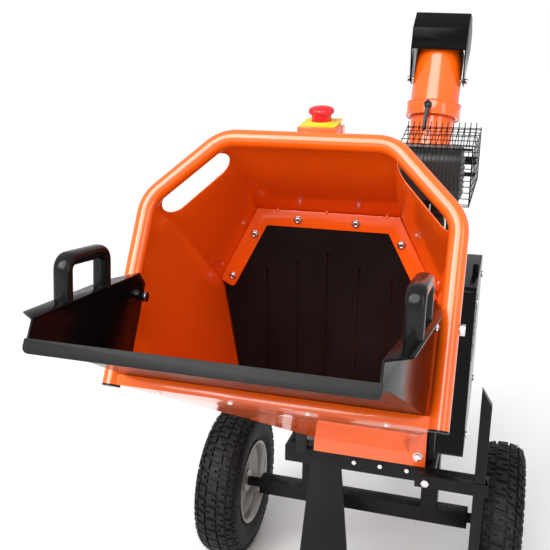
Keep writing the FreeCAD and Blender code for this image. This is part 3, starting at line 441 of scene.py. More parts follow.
# ---------------------------------------------------------------- CAD nodes that stay
STAYING = (
    (ORANGE, 0.7, ("hopper_funnel", "lower_cross_tube", "infeed_chute", "estop_box", "rotor_housing",
                   "swivel_chute")),
    (ORANGE, 0.0, ("hopper_loop_tube", "discharge_duct")),
    (BLACK, 0.8, ("feed_tray", "guard_back_plate", "guard_cover", "chute_deflector", "fuel_tank")),
    (CHASSIS, 1.2, ("chassis_frame", "side_prop", "rear_stand", "drawbar", "tow_coupling", "wheel_axle")),
    (PLASTIC, 1.5, ("infeed_knob", "air_filter", "throttle_lever")),
    (PLASTIC, 0.8, ("tube_end_caps",)),
    (RED, 0.8, ("engine_switch",)),
    (ZINC, 0.7, ("machine_fasteners", "tray_pivot_bolts", "deflector_bolts", "hub_nuts", "coupling_latch")),
    (STEEL, 0.4, ("drum_knives", "counter_knife", "crankshaft")),
    (RUBBER, 0.0, ("curtain_header",)),
    (BELT, 0.0, ("drive_belt",)),
    (CAST, 1.0, ("engine_block",)),
    (IRON, 0.8, ("drum_bearings", "drum_pulley", "engine_pulley")),
    (DRUM, 0.6, ("chipper_drum",)),
)
for look, bevel, names in STAYING:
    for name in names:
        finish_node(name, look, bevel)


# ---------------------------------------------------------------- rubber curtain
SLITS = ((-121.0, 886.0), (-57.0, 908.0), (3.0, 929.0), (67.0, 905.0), (132.0, 884.0))
THROAT_Y = 400.0
THROAT_SIDE = (224.0, 863.0)
THROAT_LOW = (170.0, 545.0)
THROAT_CLEARANCE = 8.0
FLAP_THICK = 4.0
HINGE_GAP = 2.5
SLIT_HALF = 0.6
FLAP_BOW = 7.0
FLAP_CURL = 4.0


def side_edge(z):
    """Half width of the throat at height z, with the curtain's clearance taken off."""
    share = (z - THROAT_LOW[1]) / (THROAT_SIDE[1] - THROAT_LOW[1])
    return THROAT_LOW[0] + (THROAT_SIDE[0] - THROAT_LOW[0]) * share - THROAT_CLEARANCE


def curtain_flap(number):
    """One rubber strip: it bows forward a little and its edges curl apart towards the bottom."""
    node = "curtain_flap_%d" % (number + 1)
    low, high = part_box(node)
    top = (high.z - ORIGIN.z) / MM + HINGE_GAP
    bottom = (low.z - ORIGIN.z) / MM
    left = SLITS[number - 1][0] + SLIT_HALF if number > 0 else None
    right = SLITS[number][0] - SLIT_HALF if number < len(SLITS) else None
    lean = 1 if number % 2 else -1
    columns, rows = 13, 25
    front, back = [], []
    for j in range(rows):
        t = j / (rows - 1)
        z = top + (bottom - top) * t
        x0 = left if left is not None else -side_edge(z)
        x1 = right if right is not None else side_edge(z)
        for k in range(columns):
            s = 2 * k / (columns - 1) - 1
            bow = FLAP_BOW * t * t * (1 - s * s) + FLAP_CURL * t ** 1.5 * s * lean
            x = x0 + (x1 - x0) * (s + 1) / 2
            front.append(place(x, THROAT_Y - bow, z))
            back.append(place(x, THROAT_Y + FLAP_THICK - bow, z))
    size = columns * rows
    faces = []
    for j in range(rows - 1):
        for k in range(columns - 1):
            a = j * columns + k
            faces.append([a, a + 1, a + columns + 1, a + columns])
            faces.append([size + a, size + a + columns, size + a + columns + 1, size + a + 1])
    rim = list(range(columns))
    rim += [j * columns + columns - 1 for j in range(1, rows)]
    rim += [(rows - 1) * columns + k for k in range(columns - 2, -1, -1)]
    rim += [j * columns for j in range(rows - 2, 0, -1)]
    for k in range(len(rim)):
        a, b = rim[k], rim[(k + 1) % len(rim)]
        faces.append([a, b, size + b, size + a])
    flap = piece("rubber_flap_%d" % (number + 1), Shape().add(front + back, faces), RUBBER, "machine",
                 (node,), ride=False)
    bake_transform(flap)


for number in range(len(SLITS) + 1):
    curtain_flap(number)


# ---------------------------------------------------------------- hopper
BAND_HALF = 16.5
BAND_CORNER = 9.0
BAND_ROUTE = ((-209.0, 851.0), (-132.0, 997.0), (132.0, 997.0), (209.0, 851.0))
BAND_FRONT, BAND_BACK = THROAT_Y - 3, THROAT_Y - 0.1
FROM_END = (0.0, 1.2, 3.0, 5.5, BAND_CORNER)


def flange_band():
    """Clamping band of the curtain: along the top and down both slopes, with rounded ends."""
    corners = [Vector(spot) for spot in BAND_ROUTE]
    rings = []
    for run in range(3):
        a, b = corners[run], corners[run + 1]
        along, length = (b - a).normalized(), (b - a).length
        stations = ([*FROM_END, length], [0.0, length],
                    [0.0] + [length - d for d in reversed(FROM_END)])[run]
        for d in stations[1 if run else 0:]:
            spot, width = a + along * d, BAND_HALF
            from_end = (d, length, length - d)[run]
            if from_end < BAND_CORNER:
                reach = BAND_CORNER ** 2 - (BAND_CORNER - from_end) ** 2
                width = BAND_HALF - BAND_CORNER + math.sqrt(max(reach, 0.0))
            normal = Vector((-along.y, along.x))
            if run < 2 and d == length:
                following = (corners[run + 2] - b).normalized()
                mitre = (normal + Vector((-following.y, following.x))).normalized()
                normal = mitre / mitre.dot(normal)
            upper, lower = spot + normal * width, spot - normal * width
            rings.append([place(edge.x, y, edge.y) for edge, y in (
                (upper, BAND_FRONT), (lower, BAND_FRONT), (lower, BAND_BACK), (upper, BAND_BACK))])
    return rings_shape(rings)


piece("curtain_band", flange_band(), ORANGE, "machine", ("curtain_flange",), bevel=0.8)

BAND_SCREWS = ((58, 995), (148, 960), (196, 868))
BAND_WASHER = ((8.6, 0), (8.6, 0.7), (0.001, 0.7))
UNDER_SCREWS = (-195, -68, 62, 186)
UNDER_SCREW_Y = 30
screws = Shape()
for side in (-1, 1):
    for x, z in BAND_SCREWS:
        spot = place(side * x, BAND_FRONT, z)
        screws.merge(dome_screw(spot, -Y, 7.5, 4.8), revolve(BAND_WASHER, spot, -Y, 24))
floor_slope = (MOUTH_HEIGHT + 1 - THROAT_LOW[1]) / THROAT_Y
under = Vector((0, -floor_slope, -1)).normalized()
for x in UNDER_SCREWS:
    spot = place(x, UNDER_SCREW_Y, MOUTH_HEIGHT + 1 - floor_slope * UNDER_SCREW_Y)
    screws.merge(dome_screw(spot + under * 0.0004, under, 4.5, 3.8))
piece("button_screws", screws, ZINC, "machine", ("hopper_screws",))

gland_spot = place(44, 297, 1166)
gland = hexagon(gland_spot, X, 14, 4)
gland.merge(revolve([(6.4, 4), (6.8, 4.6), (6.8, 9), (5.6, 11), (3.4, 11.6), (3.2, 9), (0.001, 9)],
                    gland_spot, X, 28))
piece("stop_gland", gland, ZINC, "machine", bevel=0.3)

BEADS_ON_BACK = ((0, 397.5, 1013.4), (-100, 398, 1013), (118, 397.5, 1013.4))
BEADS_ON_SIDES = ((-226, 355, 905), (228, 340, 905))
bead = [(3.6 * math.cos(a), 2.2 * math.sin(a)) for a in (0.0, 0.4, 0.8, 1.2)] + [(0.001, 2.25)]
beads = Shape()
for spot in BEADS_ON_BACK:
    beads.merge(revolve(bead, place(*spot), -Y, 14))
for spot in BEADS_ON_SIDES:
    beads.merge(revolve(bead, place(*spot), X * -math.copysign(1, spot[0]), 14))
piece("weld_beads", beads, ORANGE, "machine")


# ---------------------------------------------------------------- emergency stop
STOP_LEAN = math.radians(8)
stop_up = Vector((0, -math.sin(STOP_LEAN), math.cos(STOP_LEAN)))
stop_back = Vector((0, math.cos(STOP_LEAN), math.sin(STOP_LEAN)))
STOP_HALF = 32.0
STOP_THICK = 0.002
WEDGE_INSET = 3.0
low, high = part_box("estop_plate")
plate_z = low.z
stop_centre = Vector(((low.x + high.x) / 2, (low.y + high.y) / 2, low.z + 0.0065))


def stop_plate():
    """Yellow plate that leans a little towards the front, on a wedge, with a low round collar."""
    corners = rounded_outline(-STOP_HALF, STOP_HALF, -STOP_HALF, STOP_HALF, 4)
    top = [stop_centre + X * (a * MM) + stop_back * (b * MM) for a, b in corners]
    shape = extrude(top, -stop_up * STOP_THICK)
    half = (STOP_HALF - WEDGE_INSET) * MM
    wedge = [stop_centre + X * (a * half) + stop_back * (b * half) - stop_up * STOP_THICK
             for a, b in ((-1, -1), (1, -1), (1, 1), (-1, 1))]
    shape.merge(rings_shape([[Vector((v.x, v.y, plate_z - 0.0005)) for v in wedge], wedge]))
    collar = [(21.5, 0), (21.0, 1.6), (19.8, 2.6), (17.8, 2.6), (17.8, 0)]
    return shape.merge(revolve(collar, stop_centre, stop_up, 48, closed=True))


piece("stop_plate_yellow", stop_plate(), YELLOW, "machine", ("estop_plate",), bevel=0.3)


# Mushroom head, hollow underneath: skirt with 24 ridges, shallow dome with a dished ring.
STOP_HEAD = ((0.001, 21.5), (18.7, 21.5), (18.7, 14.6), (19.4, 14.2), (21.4, 15.4), (22.2, 17.6),
             (22.2, 20.4), (21.4, 22.6), (19.0, 24.6), (15.6, 26.0), (14.6, 25.4), (13.6, 26.2),
             (9.0, 27.4), (4.0, 28.2), (0.001, 28.4))
stop_head = ridged(STOP_HEAD, stop_centre, (X, stop_back, stop_up), 96,
                   lambda k, r, h: 0.9 if k % 4 < 2 and r > 20 else 0.0)
piece("stop_mushroom", stop_head, RED, "stop_button", ("estop_button",))
neck = revolve([(0.001, 0.5), (17.0, 0.5), (17.4, 3.5), (17.4, 14.6), (16.6, 15.4), (0.001, 15.4)],
               stop_centre, stop_up, 48)
piece("stop_neck", neck, RED, "machine")


# ---------------------------------------------------------------- feed tray
TRAY_FRONT = 336.0
TRAY_LOW = 47.0
TRAY_RISE, TRAY_RUN = 139.0, 306.0
TRAY_SLOPE = math.atan2(TRAY_RISE, TRAY_RUN)
HEM_THICK = 1.6
HANDLE_X = 238.0
HANDLE_HEIGHT = 56.0
HANDLE_FRONT, HANDLE_REAR = 243.0, 147.0
HANDLE_WIDE, HANDLE_DEEP = 13.0, 10.0


def tray_top(n):
    """Height v of the side walls' upper edge, n out of the mouth."""
    return TRAY_LOW + TRAY_RISE * (TRAY_FRONT - n) / TRAY_RUN


# Front hem in the lighter grey, whose brightness is painted sheen rather than a colour of its own.
hem = extrude([mouth(x, v, TRAY_FRONT + 0.2) for x, v in rounded_outline(-222, 222, 2.5, 21.5, (9, 9, 2, 2))],
              mouth(0, 0, HEM_THICK) - mouth(0, 0, 0))
piece("tray_front_hem", hem, HEM_PAINTED_SHEEN, "tray", bevel=0.5)


def bow_handle(side):
    """Moulded bow grip on two square feet, with a wide oval section."""
    lift = (mouth(0, math.cos(TRAY_SLOPE), math.sin(TRAY_SLOPE)) - mouth(0, 0, 0)).normalized()
    front, rear = [mouth(side * HANDLE_X, tray_top(n), n) for n in (HANDLE_FRONT, HANDLE_REAR)]
    lift = lift * (HANDLE_HEIGHT * MM)
    route = rounded_route([front, front + lift, rear + lift, rear], 15, 7)
    rings = []
    for i, spot in enumerate(route):
        before, after = route[max(i - 1, 0)], route[min(i + 1, len(route) - 1)]
        along = (after - before).normalized()
        across = along.cross(X).normalized()
        ring = []
        for k in range(24):
            angle = 2 * math.pi * k / 24
            cosine, sine = math.cos(angle), math.sin(angle)
            wide = math.copysign(abs(cosine) ** 0.75, cosine) * HANDLE_WIDE
            deep = math.copysign(abs(sine) ** 0.75, sine) * HANDLE_DEEP
            ring.append(spot + X * (wide * MM) + across * (deep * MM))
        rings.append(ring)
    return rings_shape(rings)


handles = Shape().merge(bow_handle(-1), bow_handle(1))
piece("bow_handles", handles, PLASTIC, "tray", ("tray_handles",), sharp=50)


# ---------------------------------------------------------------- muffler and its cage
MUFFLER_LEFT, MUFFLER_RIGHT = 112.0, 236.0
MUFFLER_LOW, MUFFLER_HIGH = 1010.0, 1119.0
MUFFLER_RIBS, MUFFLER_LOUVRES = 15, 8


def muffler_box():
    """Pressed box with rounded top edges."""
    low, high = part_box("muffler")
    y0, y1 = (low.y - ORIGIN.y) / MM, (high.y - ORIGIN.y) / MM
    corners = rounded_outline(y0, y1, MUFFLER_LOW, MUFFLER_HIGH, (5, 5, 26, 26), 8)
    return extrude([place(MUFFLER_LEFT, y, z) for y, z in corners],
                   X * ((MUFFLER_RIGHT - MUFFLER_LEFT) * MM))


muffler = muffler_box()
muffler.merge(revolve([(17, 0), (17, 8), (0.001, 8)], place(135, 660, 1003), Z, 28))
ribs = Shape()
for k in range(MUFFLER_RIBS):
    x = 114.5 + 8.4 * k
    route = rounded_route([place(x, 593, 1040), place(x, 593, 1121.5), place(x, 640, 1121.5)], 27, 8)
    rings = []
    for spot in route:
        inner = spot + Vector((0, 0.003, -0.003))
        rings.append([spot, spot + X * 0.0022, inner + X * 0.0022, inner])
    ribs.merge(rings_shape(rings))
piece("muffler_shell", muffler.merge(ribs), MUFFLER_BLACK_AND_HOLE_SHADE, "machine", ("muffler",), bevel=0.5)

shield = slab(114, 234, 640, 700, MUFFLER_HIGH, 1121.4)
for x in (132, 158, 184, 210):
    shield.merge(slab(x, x + 14, 650, 692, 1121.4, 1123))
for k in range(MUFFLER_LOUVRES):
    z = 1018 + 10.5 * k
    louvre = [place(MUFFLER_RIGHT + out, 604, z + rise)
              for out, rise in ((0, 0), (4.5, 2.5), (4.5, 4.5), (0, 6.5))]
    shield.merge(extrude(louvre, Y * 0.092))
piece("muffler_shield", shield, HEAT, "machine", bevel=0.3)

CAGE_LEFT, CAGE_RIGHT, CAGE_REAR_RIGHT = 105.0, 259.0, 267.0
CAGE_FRONT, CAGE_FOLD, CAGE_REAR = 576.5, 588.0, 726.5
CAGE_LOW, CAGE_HIGH = 1125.5, 1158.5
CAGE_FOOT, CAGE_REAR_FOOT = 1008.0, 1046.0
CAGE_WIRE, CAGE_EDGE = 1.0, 1.3
CAGE_PITCH = 12.4
CAGE_STRIP = 239.0


def cage_top(y):
    """Height of the cage's sloping top."""
    return CAGE_LOW + (CAGE_HIGH - CAGE_LOW) * max(y - CAGE_FOLD, 0.0) / (CAGE_REAR - CAGE_FOLD)


def along_cage(y, front, rear):
    """Value that changes evenly from the cage's front to its rear."""
    share = (y - CAGE_FRONT) / (CAGE_REAR - CAGE_FRONT)
    return front + (rear - front) * share


def cage_side(y, z):
    """Point of the right side, which spreads a little towards the back."""
    return place(along_cage(y, CAGE_RIGHT, CAGE_REAR_RIGHT), y, z)


def cage_foot(y):
    """Height of the right side's rising lower edge."""
    return along_cage(y, CAGE_FOOT, CAGE_REAR_FOOT)


def cage_wires():
    """Welded mesh folded over the muffler: sloping top, back, right side and a narrow front strip."""
    wires = Shape()

    def wire(points, radius=CAGE_WIRE):
        wires.merge(tube(points, radius, 6))

    for k in range(13):
        x = 108 + CAGE_PITCH * k
        bend = place(x, CAGE_REAR, CAGE_HIGH)
        wire([place(x, CAGE_FOLD - 3, CAGE_LOW), bend, bend + (Z + Y * 0.2) * 0.009])
        wire([bend, place(x, CAGE_REAR, 1076)])
    for k in range(6):
        y = CAGE_FOLD + 27.0 * k
        z = cage_top(y) - 2
        wire(rounded_route([place(CAGE_LEFT, y, z), cage_side(y, z), cage_side(y, cage_foot(y))], 5, 4))
    wire([cage_side(CAGE_FRONT, CAGE_LOW), cage_side(CAGE_FRONT, CAGE_FOOT)], CAGE_EDGE)
    for k in range(10):
        z = CAGE_LOW - 2 - CAGE_PITCH * k
        rear = CAGE_REAR
        if z < CAGE_REAR_FOOT:
            rear = CAGE_FRONT + (CAGE_REAR - CAGE_FRONT) * (z - CAGE_FOOT) / (CAGE_REAR_FOOT - CAGE_FOOT)
        wire(rounded_route([place(CAGE_STRIP, CAGE_FRONT, z), cage_side(CAGE_FRONT, z),
                            cage_side(rear, z)], 4, 4))
    for z in (1137.0, 1148.0):
        front = CAGE_FOLD + (z - CAGE_LOW) * (CAGE_REAR - CAGE_FOLD) / (CAGE_HIGH - CAGE_LOW)
        wire([cage_side(front, z), cage_side(CAGE_REAR, z)])
    for k in range(7):
        z = CAGE_HIGH - 6 - CAGE_PITCH * k
        wire([place(CAGE_LEFT, CAGE_REAR, z), cage_side(CAGE_REAR, z)])
    wire([place(CAGE_STRIP, CAGE_FRONT, CAGE_FOOT), cage_side(CAGE_FRONT, CAGE_FOOT),
          cage_side(CAGE_REAR, CAGE_REAR_FOOT)], CAGE_EDGE)
    wire([place(CAGE_LEFT, CAGE_FOLD, CAGE_LOW), cage_side(CAGE_FOLD, CAGE_LOW)], CAGE_EDGE)
    wire([cage_side(CAGE_REAR, CAGE_HIGH), cage_side(CAGE_REAR, CAGE_REAR_FOOT)], CAGE_EDGE)
    return wires


piece("muffler_cage", cage_wires(), BLACK, "machine", ("muffler_guard",))
stays = slab(228, 262, 721, 725, 1076, 1094)
stays.merge(slab(226, 262, 711, 725, 1051, 1059))
piece("cage_stays", stays, CHASSIS, "machine", bevel=0.6)


# ---------------------------------------------------------------- belt guard
# The vents are matte black slot patches laid on the cover's side: painted shade standing in for holes.
low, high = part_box("guard_cover")
slot_outline = rounded_outline(-4, 4, -10, 10, 3.9, 5)
slots = Shape()
for column in range(2):
    for row in range(5):
        y = low.y + 0.055 + 0.05 * column
        z = high.z - 0.05 - 0.028 * row
        ring = [Vector((high.x + 0.0001, y + a * MM, z + b * MM)) for a, b in slot_outline]
        slots.merge(extrude(ring, X * 0.0006))
piece("guard_vents_painted_shade", slots, MUFFLER_BLACK_AND_HOLE_SHADE, "machine", bevel=0.2)

fin_foot = Vector((high.x - 0.0075, low.y + 0.098, high.z))
fin = extrude([fin_foot + X * (a * MM) + Z * (b * MM)
               for a, b in rounded_outline(-6, 6, -8, 25, (0, 0, 5, 5), 5)], Y * 0.003)
piece("guard_fin", fin, BLACK, "machine", bevel=0.4)


# ---------------------------------------------------------------- wheels
CROWN, BULGE, MIDDLE = 46.0, 55.0, 146.0
BEAD_HALF, BEAD_R = 44.0, 101.5
BLOCKS = 36
# One tread block in (across, around), with a notch that makes it hook shaped.
HOOK = ((-0.5, -0.5), (0.5, -0.5), (0.5, -0.12), (0.02, -0.12), (0.02, 0.12), (0.5, 0.12), (0.5, 0.5),
        (-0.5, 0.5))
# Rows of blocks: middle and width in degrees over the section, height, and turn in blocks.
TREAD_ROWS = ((0, 17, 6.6, 0.5), (-21, 18, 6.4, 0.0), (21, 18, 6.4, 0.0), (-43, 18, 6.0, 0.5),
              (43, 18, 6.0, 0.5), (-63, 15, 3.0, 0.0), (63, 15, 3.0, 0.0))
HAIRS = 72
BOLT_CIRCLE = 0.043


def tread_point(centre, phi, theta, lift=0.0):
    """Point on the tyre: phi runs over the section from one side to the other, theta round the axle."""
    def spot(angle):
        sine, cosine = math.sin(angle), math.cos(angle)
        return Vector((BULGE * math.copysign(abs(sine) ** 0.8, sine),
                       MIDDLE + CROWN * math.copysign(abs(cosine) ** 0.8, cosine)))
    here = spot(phi)
    along = spot(phi + 0.02) - spot(phi - 0.02)
    normal = Vector((-along.y, along.x)).normalized()
    if normal.dot(here - Vector((0, MIDDLE))) < 0:
        normal = -normal
    here = here + normal * lift
    return centre + X * (here.x * MM) + (Y * math.cos(theta) + Z * math.sin(theta)) * (here.y * MM)


def tyre_shape(centre):
    """Hollow tyre with its beads open to the rim, and separate tread blocks laid on it."""
    steps = 96
    section = [math.radians(-126 + 12 * k) for k in range(22)]
    rings = []
    for s, out in enumerate(spokes(steps, Y, Z)):
        ring = [tread_point(centre, phi, 2 * math.pi * s / steps) for phi in section]
        ring.append(centre + X * (BEAD_HALF * MM) + out * (BEAD_R * MM))
        ring.append(centre - X * (BEAD_HALF * MM) + out * (BEAD_R * MM))
        rings.append(ring)
    shape = rings_shape(rings, loop=True)
    pitch = 2 * math.pi / BLOCKS
    for row, (middle, wide, lift, offset) in enumerate(TREAD_ROWS):
        for block in range(BLOCKS):
            turn = (block + offset) * pitch
            flip = -1 if (block + row) % 2 else 1
            layers = []
            for width, length, height in ((1.0, 0.78, -1.5), (0.9, 0.70, lift)):
                layers.append([tread_point(centre, math.radians(middle + flip * across * wide * width),
                                           turn + around * pitch * length + across * flip * 0.025, height)
                               for across, around in HOOK])
            shape.merge(rings_shape(layers))
    return shape


def tyre_hairs(centre):
    """Short moulding hairs on the shoulders, left out where the tyre stands on the ground."""
    shape = Shape()
    for k in range(HAIRS):
        for middle in (-48, 47, -30, 31):
            theta = 2 * math.pi * (k + 0.25 * (middle % 3)) / HAIRS
            if math.sin(theta) < -0.93:
                continue
            phi = math.radians(middle)
            foot = tread_point(centre, phi, theta, 5)
            tip = tread_point(centre, phi + 0.03 * ((k % 3) - 1), theta + 0.012 * ((k % 2) - 0.5), 11)
            shape.merge(tube([foot, (foot + tip) / 2, tip], [0.55, 0.45, 0.2], 4))
    return shape


def rim_shape(centre):
    """Steel rim: bead lips, drop centre, stamped disc with a hub."""
    section = [(109, 51), (104.5, 51), (100, 46), (98, 40), (97, 28), (90, 22), (88, 10), (84, 6), (58, 4),
               (50, 10), (36, 12), (30, 15), (29, 33), (26, 35), (13, 35), (13, -35), (26, -35), (29, -33),
               (30, -10), (36, -4), (50, -2), (58, -6), (84, -2), (88, -10), (90, -22), (97, -28), (98, -40),
               (100, -46), (104.5, -51), (109, -51), (109, -48), (103, -44), (101.4, -30), (101.4, 30),
               (103, 44), (109, 48)]
    return revolve(section, centre, X, 72, closed=True)


for label, outward in (("left", -1), ("right", 1)):
    low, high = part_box(label + "_tyre")
    hub = (low + high) / 2
    body = label + "_wheel"
    piece(label + "_tyre_tread", tyre_shape(hub), TYRE, body, (label + "_tyre",), sharp=35)
    piece(label + "_tyre_hairs", tyre_hairs(hub), TYRE, body)
    piece(label + "_rim_pressed", rim_shape(hub), RIM, body, (label + "_rim",), sharp=42)
    bolts = Shape()
    for out in spokes(4, Y, Z, math.pi / 4):
        spot = hub + out * BOLT_CIRCLE
        bolts.merge(hexagon(spot + X * (outward * 0.011), X * outward, 14, 7))
        bolts.merge(hexagon(spot - X * (outward * 0.003), -X * outward, 14, 7))
    valve = Y * 0.6 + Z * 0.8
    bolts.merge(tube([hub + valve * 0.078 + X * (outward * 0.004),
                      hub + valve * 0.070 + X * (outward * 0.03)], [3.6, 3.0], 10))
    piece(label + "_rim_bolts", bolts, ZINC, body, bevel=0.3)


# ---------------------------------------------------------------- discharge chute
CHUTE_AXIS = Vector((0.035, 0.2867, 1.0)).normalized()
COLLAR_POINT = place(139, 950, 1160)
CHUTE_TURN = Z.rotation_difference(CHUTE_AXIS).to_matrix()


def chute(x, y, z):
    """Point in the chute's own leaning frame."""
    return COLLAR_POINT + CHUTE_TURN @ Vector((x, y, z)) * MM


COLLAR_R = 66.0
COLLAR_SEAM_R = 66.2
collar = Shape()
for z in (-2, 30):
    ring = [chute(COLLAR_R * out.x, COLLAR_R * out.y, z) for out in spokes(64, X, Y)]
    collar.merge(tube(ring, 1.8, 10, closed=True))
for x in (20, 24):
    collar.merge(tube([chute(x, -math.sqrt(COLLAR_SEAM_R ** 2 - x * x), z) for z in (-1, 14, 29)], 0.9, 6))
piece("chute_collar_rims", collar, ORANGE, "chute")


LEVER_X, LEVER_Y = -8.0, -66.5
# Stations of the lever's arm: share of its length, half its width, thickness.
LEVER_ARM = ((0.0, 6.2, 7.0), (0.3, 5.2, 6.0), (0.7, 4.8, 5.0), (0.95, 5.0, 4.6), (1.0, 4.2, 4.0))


def clamp_lever():
    """Round hub with a flat arm that tapers towards its end."""
    hub = revolve([(9, 0), (9.4, 1), (9.4, 11), (8, 13), (4.5, 13.6), (4, 12.6), (0.001, 12.4)],
                  chute(LEVER_X, LEVER_Y, 16), CHUTE_TURN @ -Y, 32)
    rings = []
    for share, half, thick in LEVER_ARM:
        x, y, z = LEVER_X - 2 * share, LEVER_Y - 8 - 2 * share, 14 - 62 * share
        rings.append([chute(x + a * half, y + b * thick / 2, z)
                      for a, b in ((-1, -1), (1, -1), (1, 1), (-1, 1))])
    return hub.merge(rings_shape(rings))


piece("clamp_lever_arm", clamp_lever(), PLASTIC, "clamp_lever", ("chute_lever",),
      bevel=0.9)


# ---------------------------------------------------------------- engine
CRANK = (690.0, 822.0)
VENT_X, FAN_SCREW_X = -69, -50


def fan_cover():
    """Blower housing with a raised starter cap, and the air duct above it."""
    centre = place(0, *CRANK)
    body = revolve([(0.001, 10), (98, 10), (98, -42), (94, -48), (84, -50), (78, -52), (78, -66), (74, -71),
                    (66, -72), (62, -69), (30, -69), (26, -72), (0.001, -72)], centre, X, 72)
    body.merge(slab(-48, 10, CRANK[0] - 66, CRANK[0] + 66, CRANK[1] + 60, 984))
    return body


piece("blower_housing", fan_cover(), PLASTIC, "machine", ("fan_housing",), bevel=0.8)
# The vents leave room where the starter grip sits.
GRIP_SIDE = Y * -0.79 + Z * 0.61
vents = Shape()
for out in spokes(24, Y, Z):
    across = X.cross(out)
    if (out - GRIP_SIDE).length < 0.3:
        continue
    inner, outer = [place(VENT_X, *CRANK) + out * reach for reach in (0.032, 0.060)]
    ring = [inner + across * 0.0014, inner - across * 0.0014,
            outer - across * 0.0026, outer + across * 0.0026]
    vents.merge(extrude(ring, X * -0.0028))
for out in spokes(6, Y, Z, math.pi / 6):
    vents.merge(hexagon(place(FAN_SCREW_X, *CRANK) + out * 0.088, -X, 9, 4))
piece("blower_vents", vents, HEAT, "machine", bevel=0.4)

# Stations along the starter grip: share of half its height, and of its full girth.
GRIP_STATIONS = ((-1.0, 0.55), (-0.93, 0.8), (-0.7, 1.0), (-0.25, 0.86), (0.0, 0.92), (0.25, 0.86),
                 (0.7, 1.0), (0.93, 0.8), (1.0, 0.55))
GRIP_X, GRIP_Y, GRIP_Z = 0.009, 0.008, 0.028
low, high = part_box("recoil_handle")
middle = (low + high) / 2
rings = []
for share, size in GRIP_STATIONS:
    rings.append([Vector((low.x + GRIP_X + GRIP_X * size * out.x, middle.y + GRIP_Y * size * out.y,
                          middle.z + GRIP_Z * share)) for out in spokes(20, X, Y)])
grip = rings_shape(rings)
grip.merge(tube([Vector((low.x + 0.014, middle.y, middle.z)), Vector((high.x, middle.y, middle.z))],
                [5.0, 4.2], 16))
piece("starter_grip", grip, PLASTIC, "recoil", ("recoil_handle",), sharp=50)

low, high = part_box("fuel_cap")
FUEL_CAP = ((0.001, 0), (25, 0), (26.6, 2.5), (26.6, 17), (25, 20.5), (22, 21.8), (12, 21.8),
            (11, 20.6), (0.001, 20.4))
cap = ridged(FUEL_CAP, Vector(((low.x + high.x) / 2, (low.y + high.y) / 2, low.z)), (X, Y, Z), 72,
             lambda k, r, h: 1.2 if k % 6 < 3 and 2 < h < 19 and r > 20 else 0.0)
piece("fuel_cap_ridged", cap, PLASTIC, "tank_cap", ("fuel_cap",))

seam = round_slab(-113, 101, 652, 803, 1052, 3, 24, 6)
neck = revolve([(30, 0), (30, 3), (24, 5), (24, 0)], place(60, 730, 1092), Z, 40, closed=True)
piece("tank_seam", seam.merge(neck), BLACK, "machine", bevel=0.8)

FINS, FIN_LOW, FIN_PITCH = 9, 908.0, 8.6
COVER_X, COVER_R = 185, 66
engine = Shape()
for k in range(FINS):
    engine.merge(round_slab(31, 157, 595, 721, FIN_LOW + FIN_PITCH * k, 2, 10, 3))
engine.merge(slab(40, 148, 604, 650, 1002, 1009))
for x in (46, 142):
    for y in (610, 706):
        engine.merge(hexagon(place(x, y, 1004), Z, 13, 7))
for k in range(8):
    angle = 2 * math.pi * k / 8
    y, z = CRANK[0] - 14 + COVER_R * math.cos(angle), CRANK[1] - 10 + COVER_R * math.sin(angle)
    engine.merge(hexagon(place(COVER_X, y, z), X, 11, 6))
engine.merge(revolve([(40, 0), (40, 4), (34, 8), (20, 9), (18, 14), (0.001, 14)],
                     place(COVER_X, *CRANK), X, 40))
piece("engine_fins", engine, CAST, "machine", bevel=0.4)

shroud = round_slab(162, 228, 640, 722, 842, 160, 8, 3)
for k in range(6):
    z = 862 + 22 * k
    shroud.merge(slab(168, 222, 636.5, 641, z, z + 9))
piece("engine_shroud", shroud, PLASTIC, "machine", bevel=1.2)
rods = tube([place(176, 626, 860), place(172, 622, 930), place(176, 628, 1000)], 2.0, 8)
rods.merge(tube([place(205, 628, 870), place(210, 622, 960), place(206, 628, 1000)], 3.0, 8))
piece("governor_rods", rods, ZINC, "machine")

filler = revolve([(11, 0), (11, 8), (14, 9), (14, 16), (12, 18), (0.001, 18)], place(24, 592, 760), -Y, 26)
plug = revolve([(9, 0), (9, 4), (6, 5), (6, 20), (8.5, 22), (8.5, 40), (6, 44), (0.001, 44)],
               place(96, 592, 994), -Y, 24)
piece("oil_filler", filler.merge(plug), PLASTIC, "machine", bevel=0.3)

filter_cover = extrude([place(x, 530, z) for x, z in rounded_outline(-108, 12, 940, 1050, 15, 5)],
                       Y * -0.004)
for k in range(7):
    z = 956 + 13 * k
    filter_cover.merge(slab(-98, 2, 523.5, 527, z, z + 4))
filter_cover.merge(revolve([(9, 0), (10, 3), (10, 9), (7, 12), (0.001, 12)], place(-48, 526, 995), -Y, 24))
piece("air_filter_cover", filter_cover, PLASTIC, "machine", bevel=0.9)


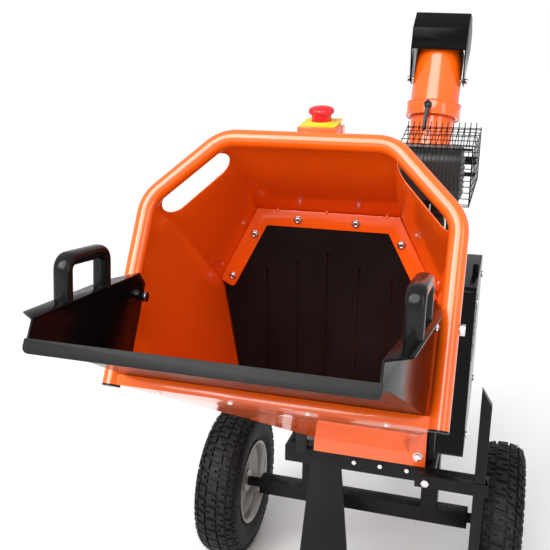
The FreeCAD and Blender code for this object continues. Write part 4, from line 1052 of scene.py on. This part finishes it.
# ---------------------------------------------------------------- stage, light and camera
FLOOR = 60
SOFT_SKY = 0.58
floor_mesh = bpy.data.meshes.new("floor")
floor_mesh.from_pydata([(-FLOOR, -FLOOR, 0), (FLOOR, -FLOOR, 0), (FLOOR, FLOOR, 0), (-FLOOR, FLOOR, 0)],
                       [], [(0, 1, 2, 3)])
floor_look = surface("pale_floor", (0.85, 0.85, 0.85), (0.87, 0.87, 0.87), (0.5, 0.6), patch=1, grain=60,
                     bump=0.02)
floor_mesh.materials.append(floor_look)
floor = bpy.data.objects.new("floor", floor_mesh)
bpy.context.scene.collection.objects.link(floor)

world = bpy.data.worlds.new("studio")
bpy.context.scene.world = world
world.use_nodes = True
sky = world.node_tree
# The camera sees plain white, and everything else is lit by a weaker sky.
soft, white = sky.nodes["Background"], sky.nodes.new("ShaderNodeBackground")
for background, strength in ((soft, SOFT_SKY), (white, 1.0)):
    background.inputs["Color"].default_value = (1, 1, 1, 1)
    background.inputs["Strength"].default_value = strength
ray, join = sky.nodes.new("ShaderNodeLightPath"), sky.nodes.new("ShaderNodeMixShader")
sky.links.new(ray.outputs["Is Camera Ray"], join.inputs["Fac"])
sky.links.new(soft.outputs["Background"], join.inputs[1])
sky.links.new(white.outputs["Background"], join.inputs[2])
sky.links.new(join.outputs["Shader"], sky.nodes["World Output"].inputs["Surface"])


def softbox(name, spot, target, size, power):
    """Area light in metres and watts, turned towards the target."""
    data = bpy.data.lights.new(name, "AREA")
    data.shape = "RECTANGLE"
    data.size, data.size_y = size
    data.energy = power
    lamp = bpy.data.objects.new(name, data)
    lamp.location = spot
    lamp.rotation_euler = (Vector(target) - Vector(spot)).to_track_quat("-Z", "Y").to_euler()
    bpy.context.scene.collection.objects.link(lamp)


softbox("key_light", (-1.6, -2.6, 2.6), (0, -0.2, 0.8), (1.2, 1.8), 26)
softbox("fill_light", (2.4, -1.6, 2.0), (0, 0, 0.8), (1.0, 2.2), 16)
broad_data = bpy.data.lights.new("broad_light", "SUN")
broad_data.energy = 3.3
broad_data.angle = math.radians(50)
broad = bpy.data.objects.new("broad_light", broad_data)
broad.rotation_euler = (math.radians(46), math.radians(-14), 0)
bpy.context.scene.collection.objects.link(broad)

bpy.context.scene.view_settings.view_transform = "Standard"

camera_data = bpy.data.cameras.new("camera")
camera_data.lens = 50.016
camera_data.sensor_width = 36.0
camera = bpy.data.objects.new("camera", camera_data)
camera.location = (0.286972, -1.632597, 1.313594)
camera.rotation_euler = (math.radians(73.746), math.radians(-0.394), math.radians(16.900))
bpy.context.scene.collection.objects.link(camera)
bpy.context.scene.camera = camera
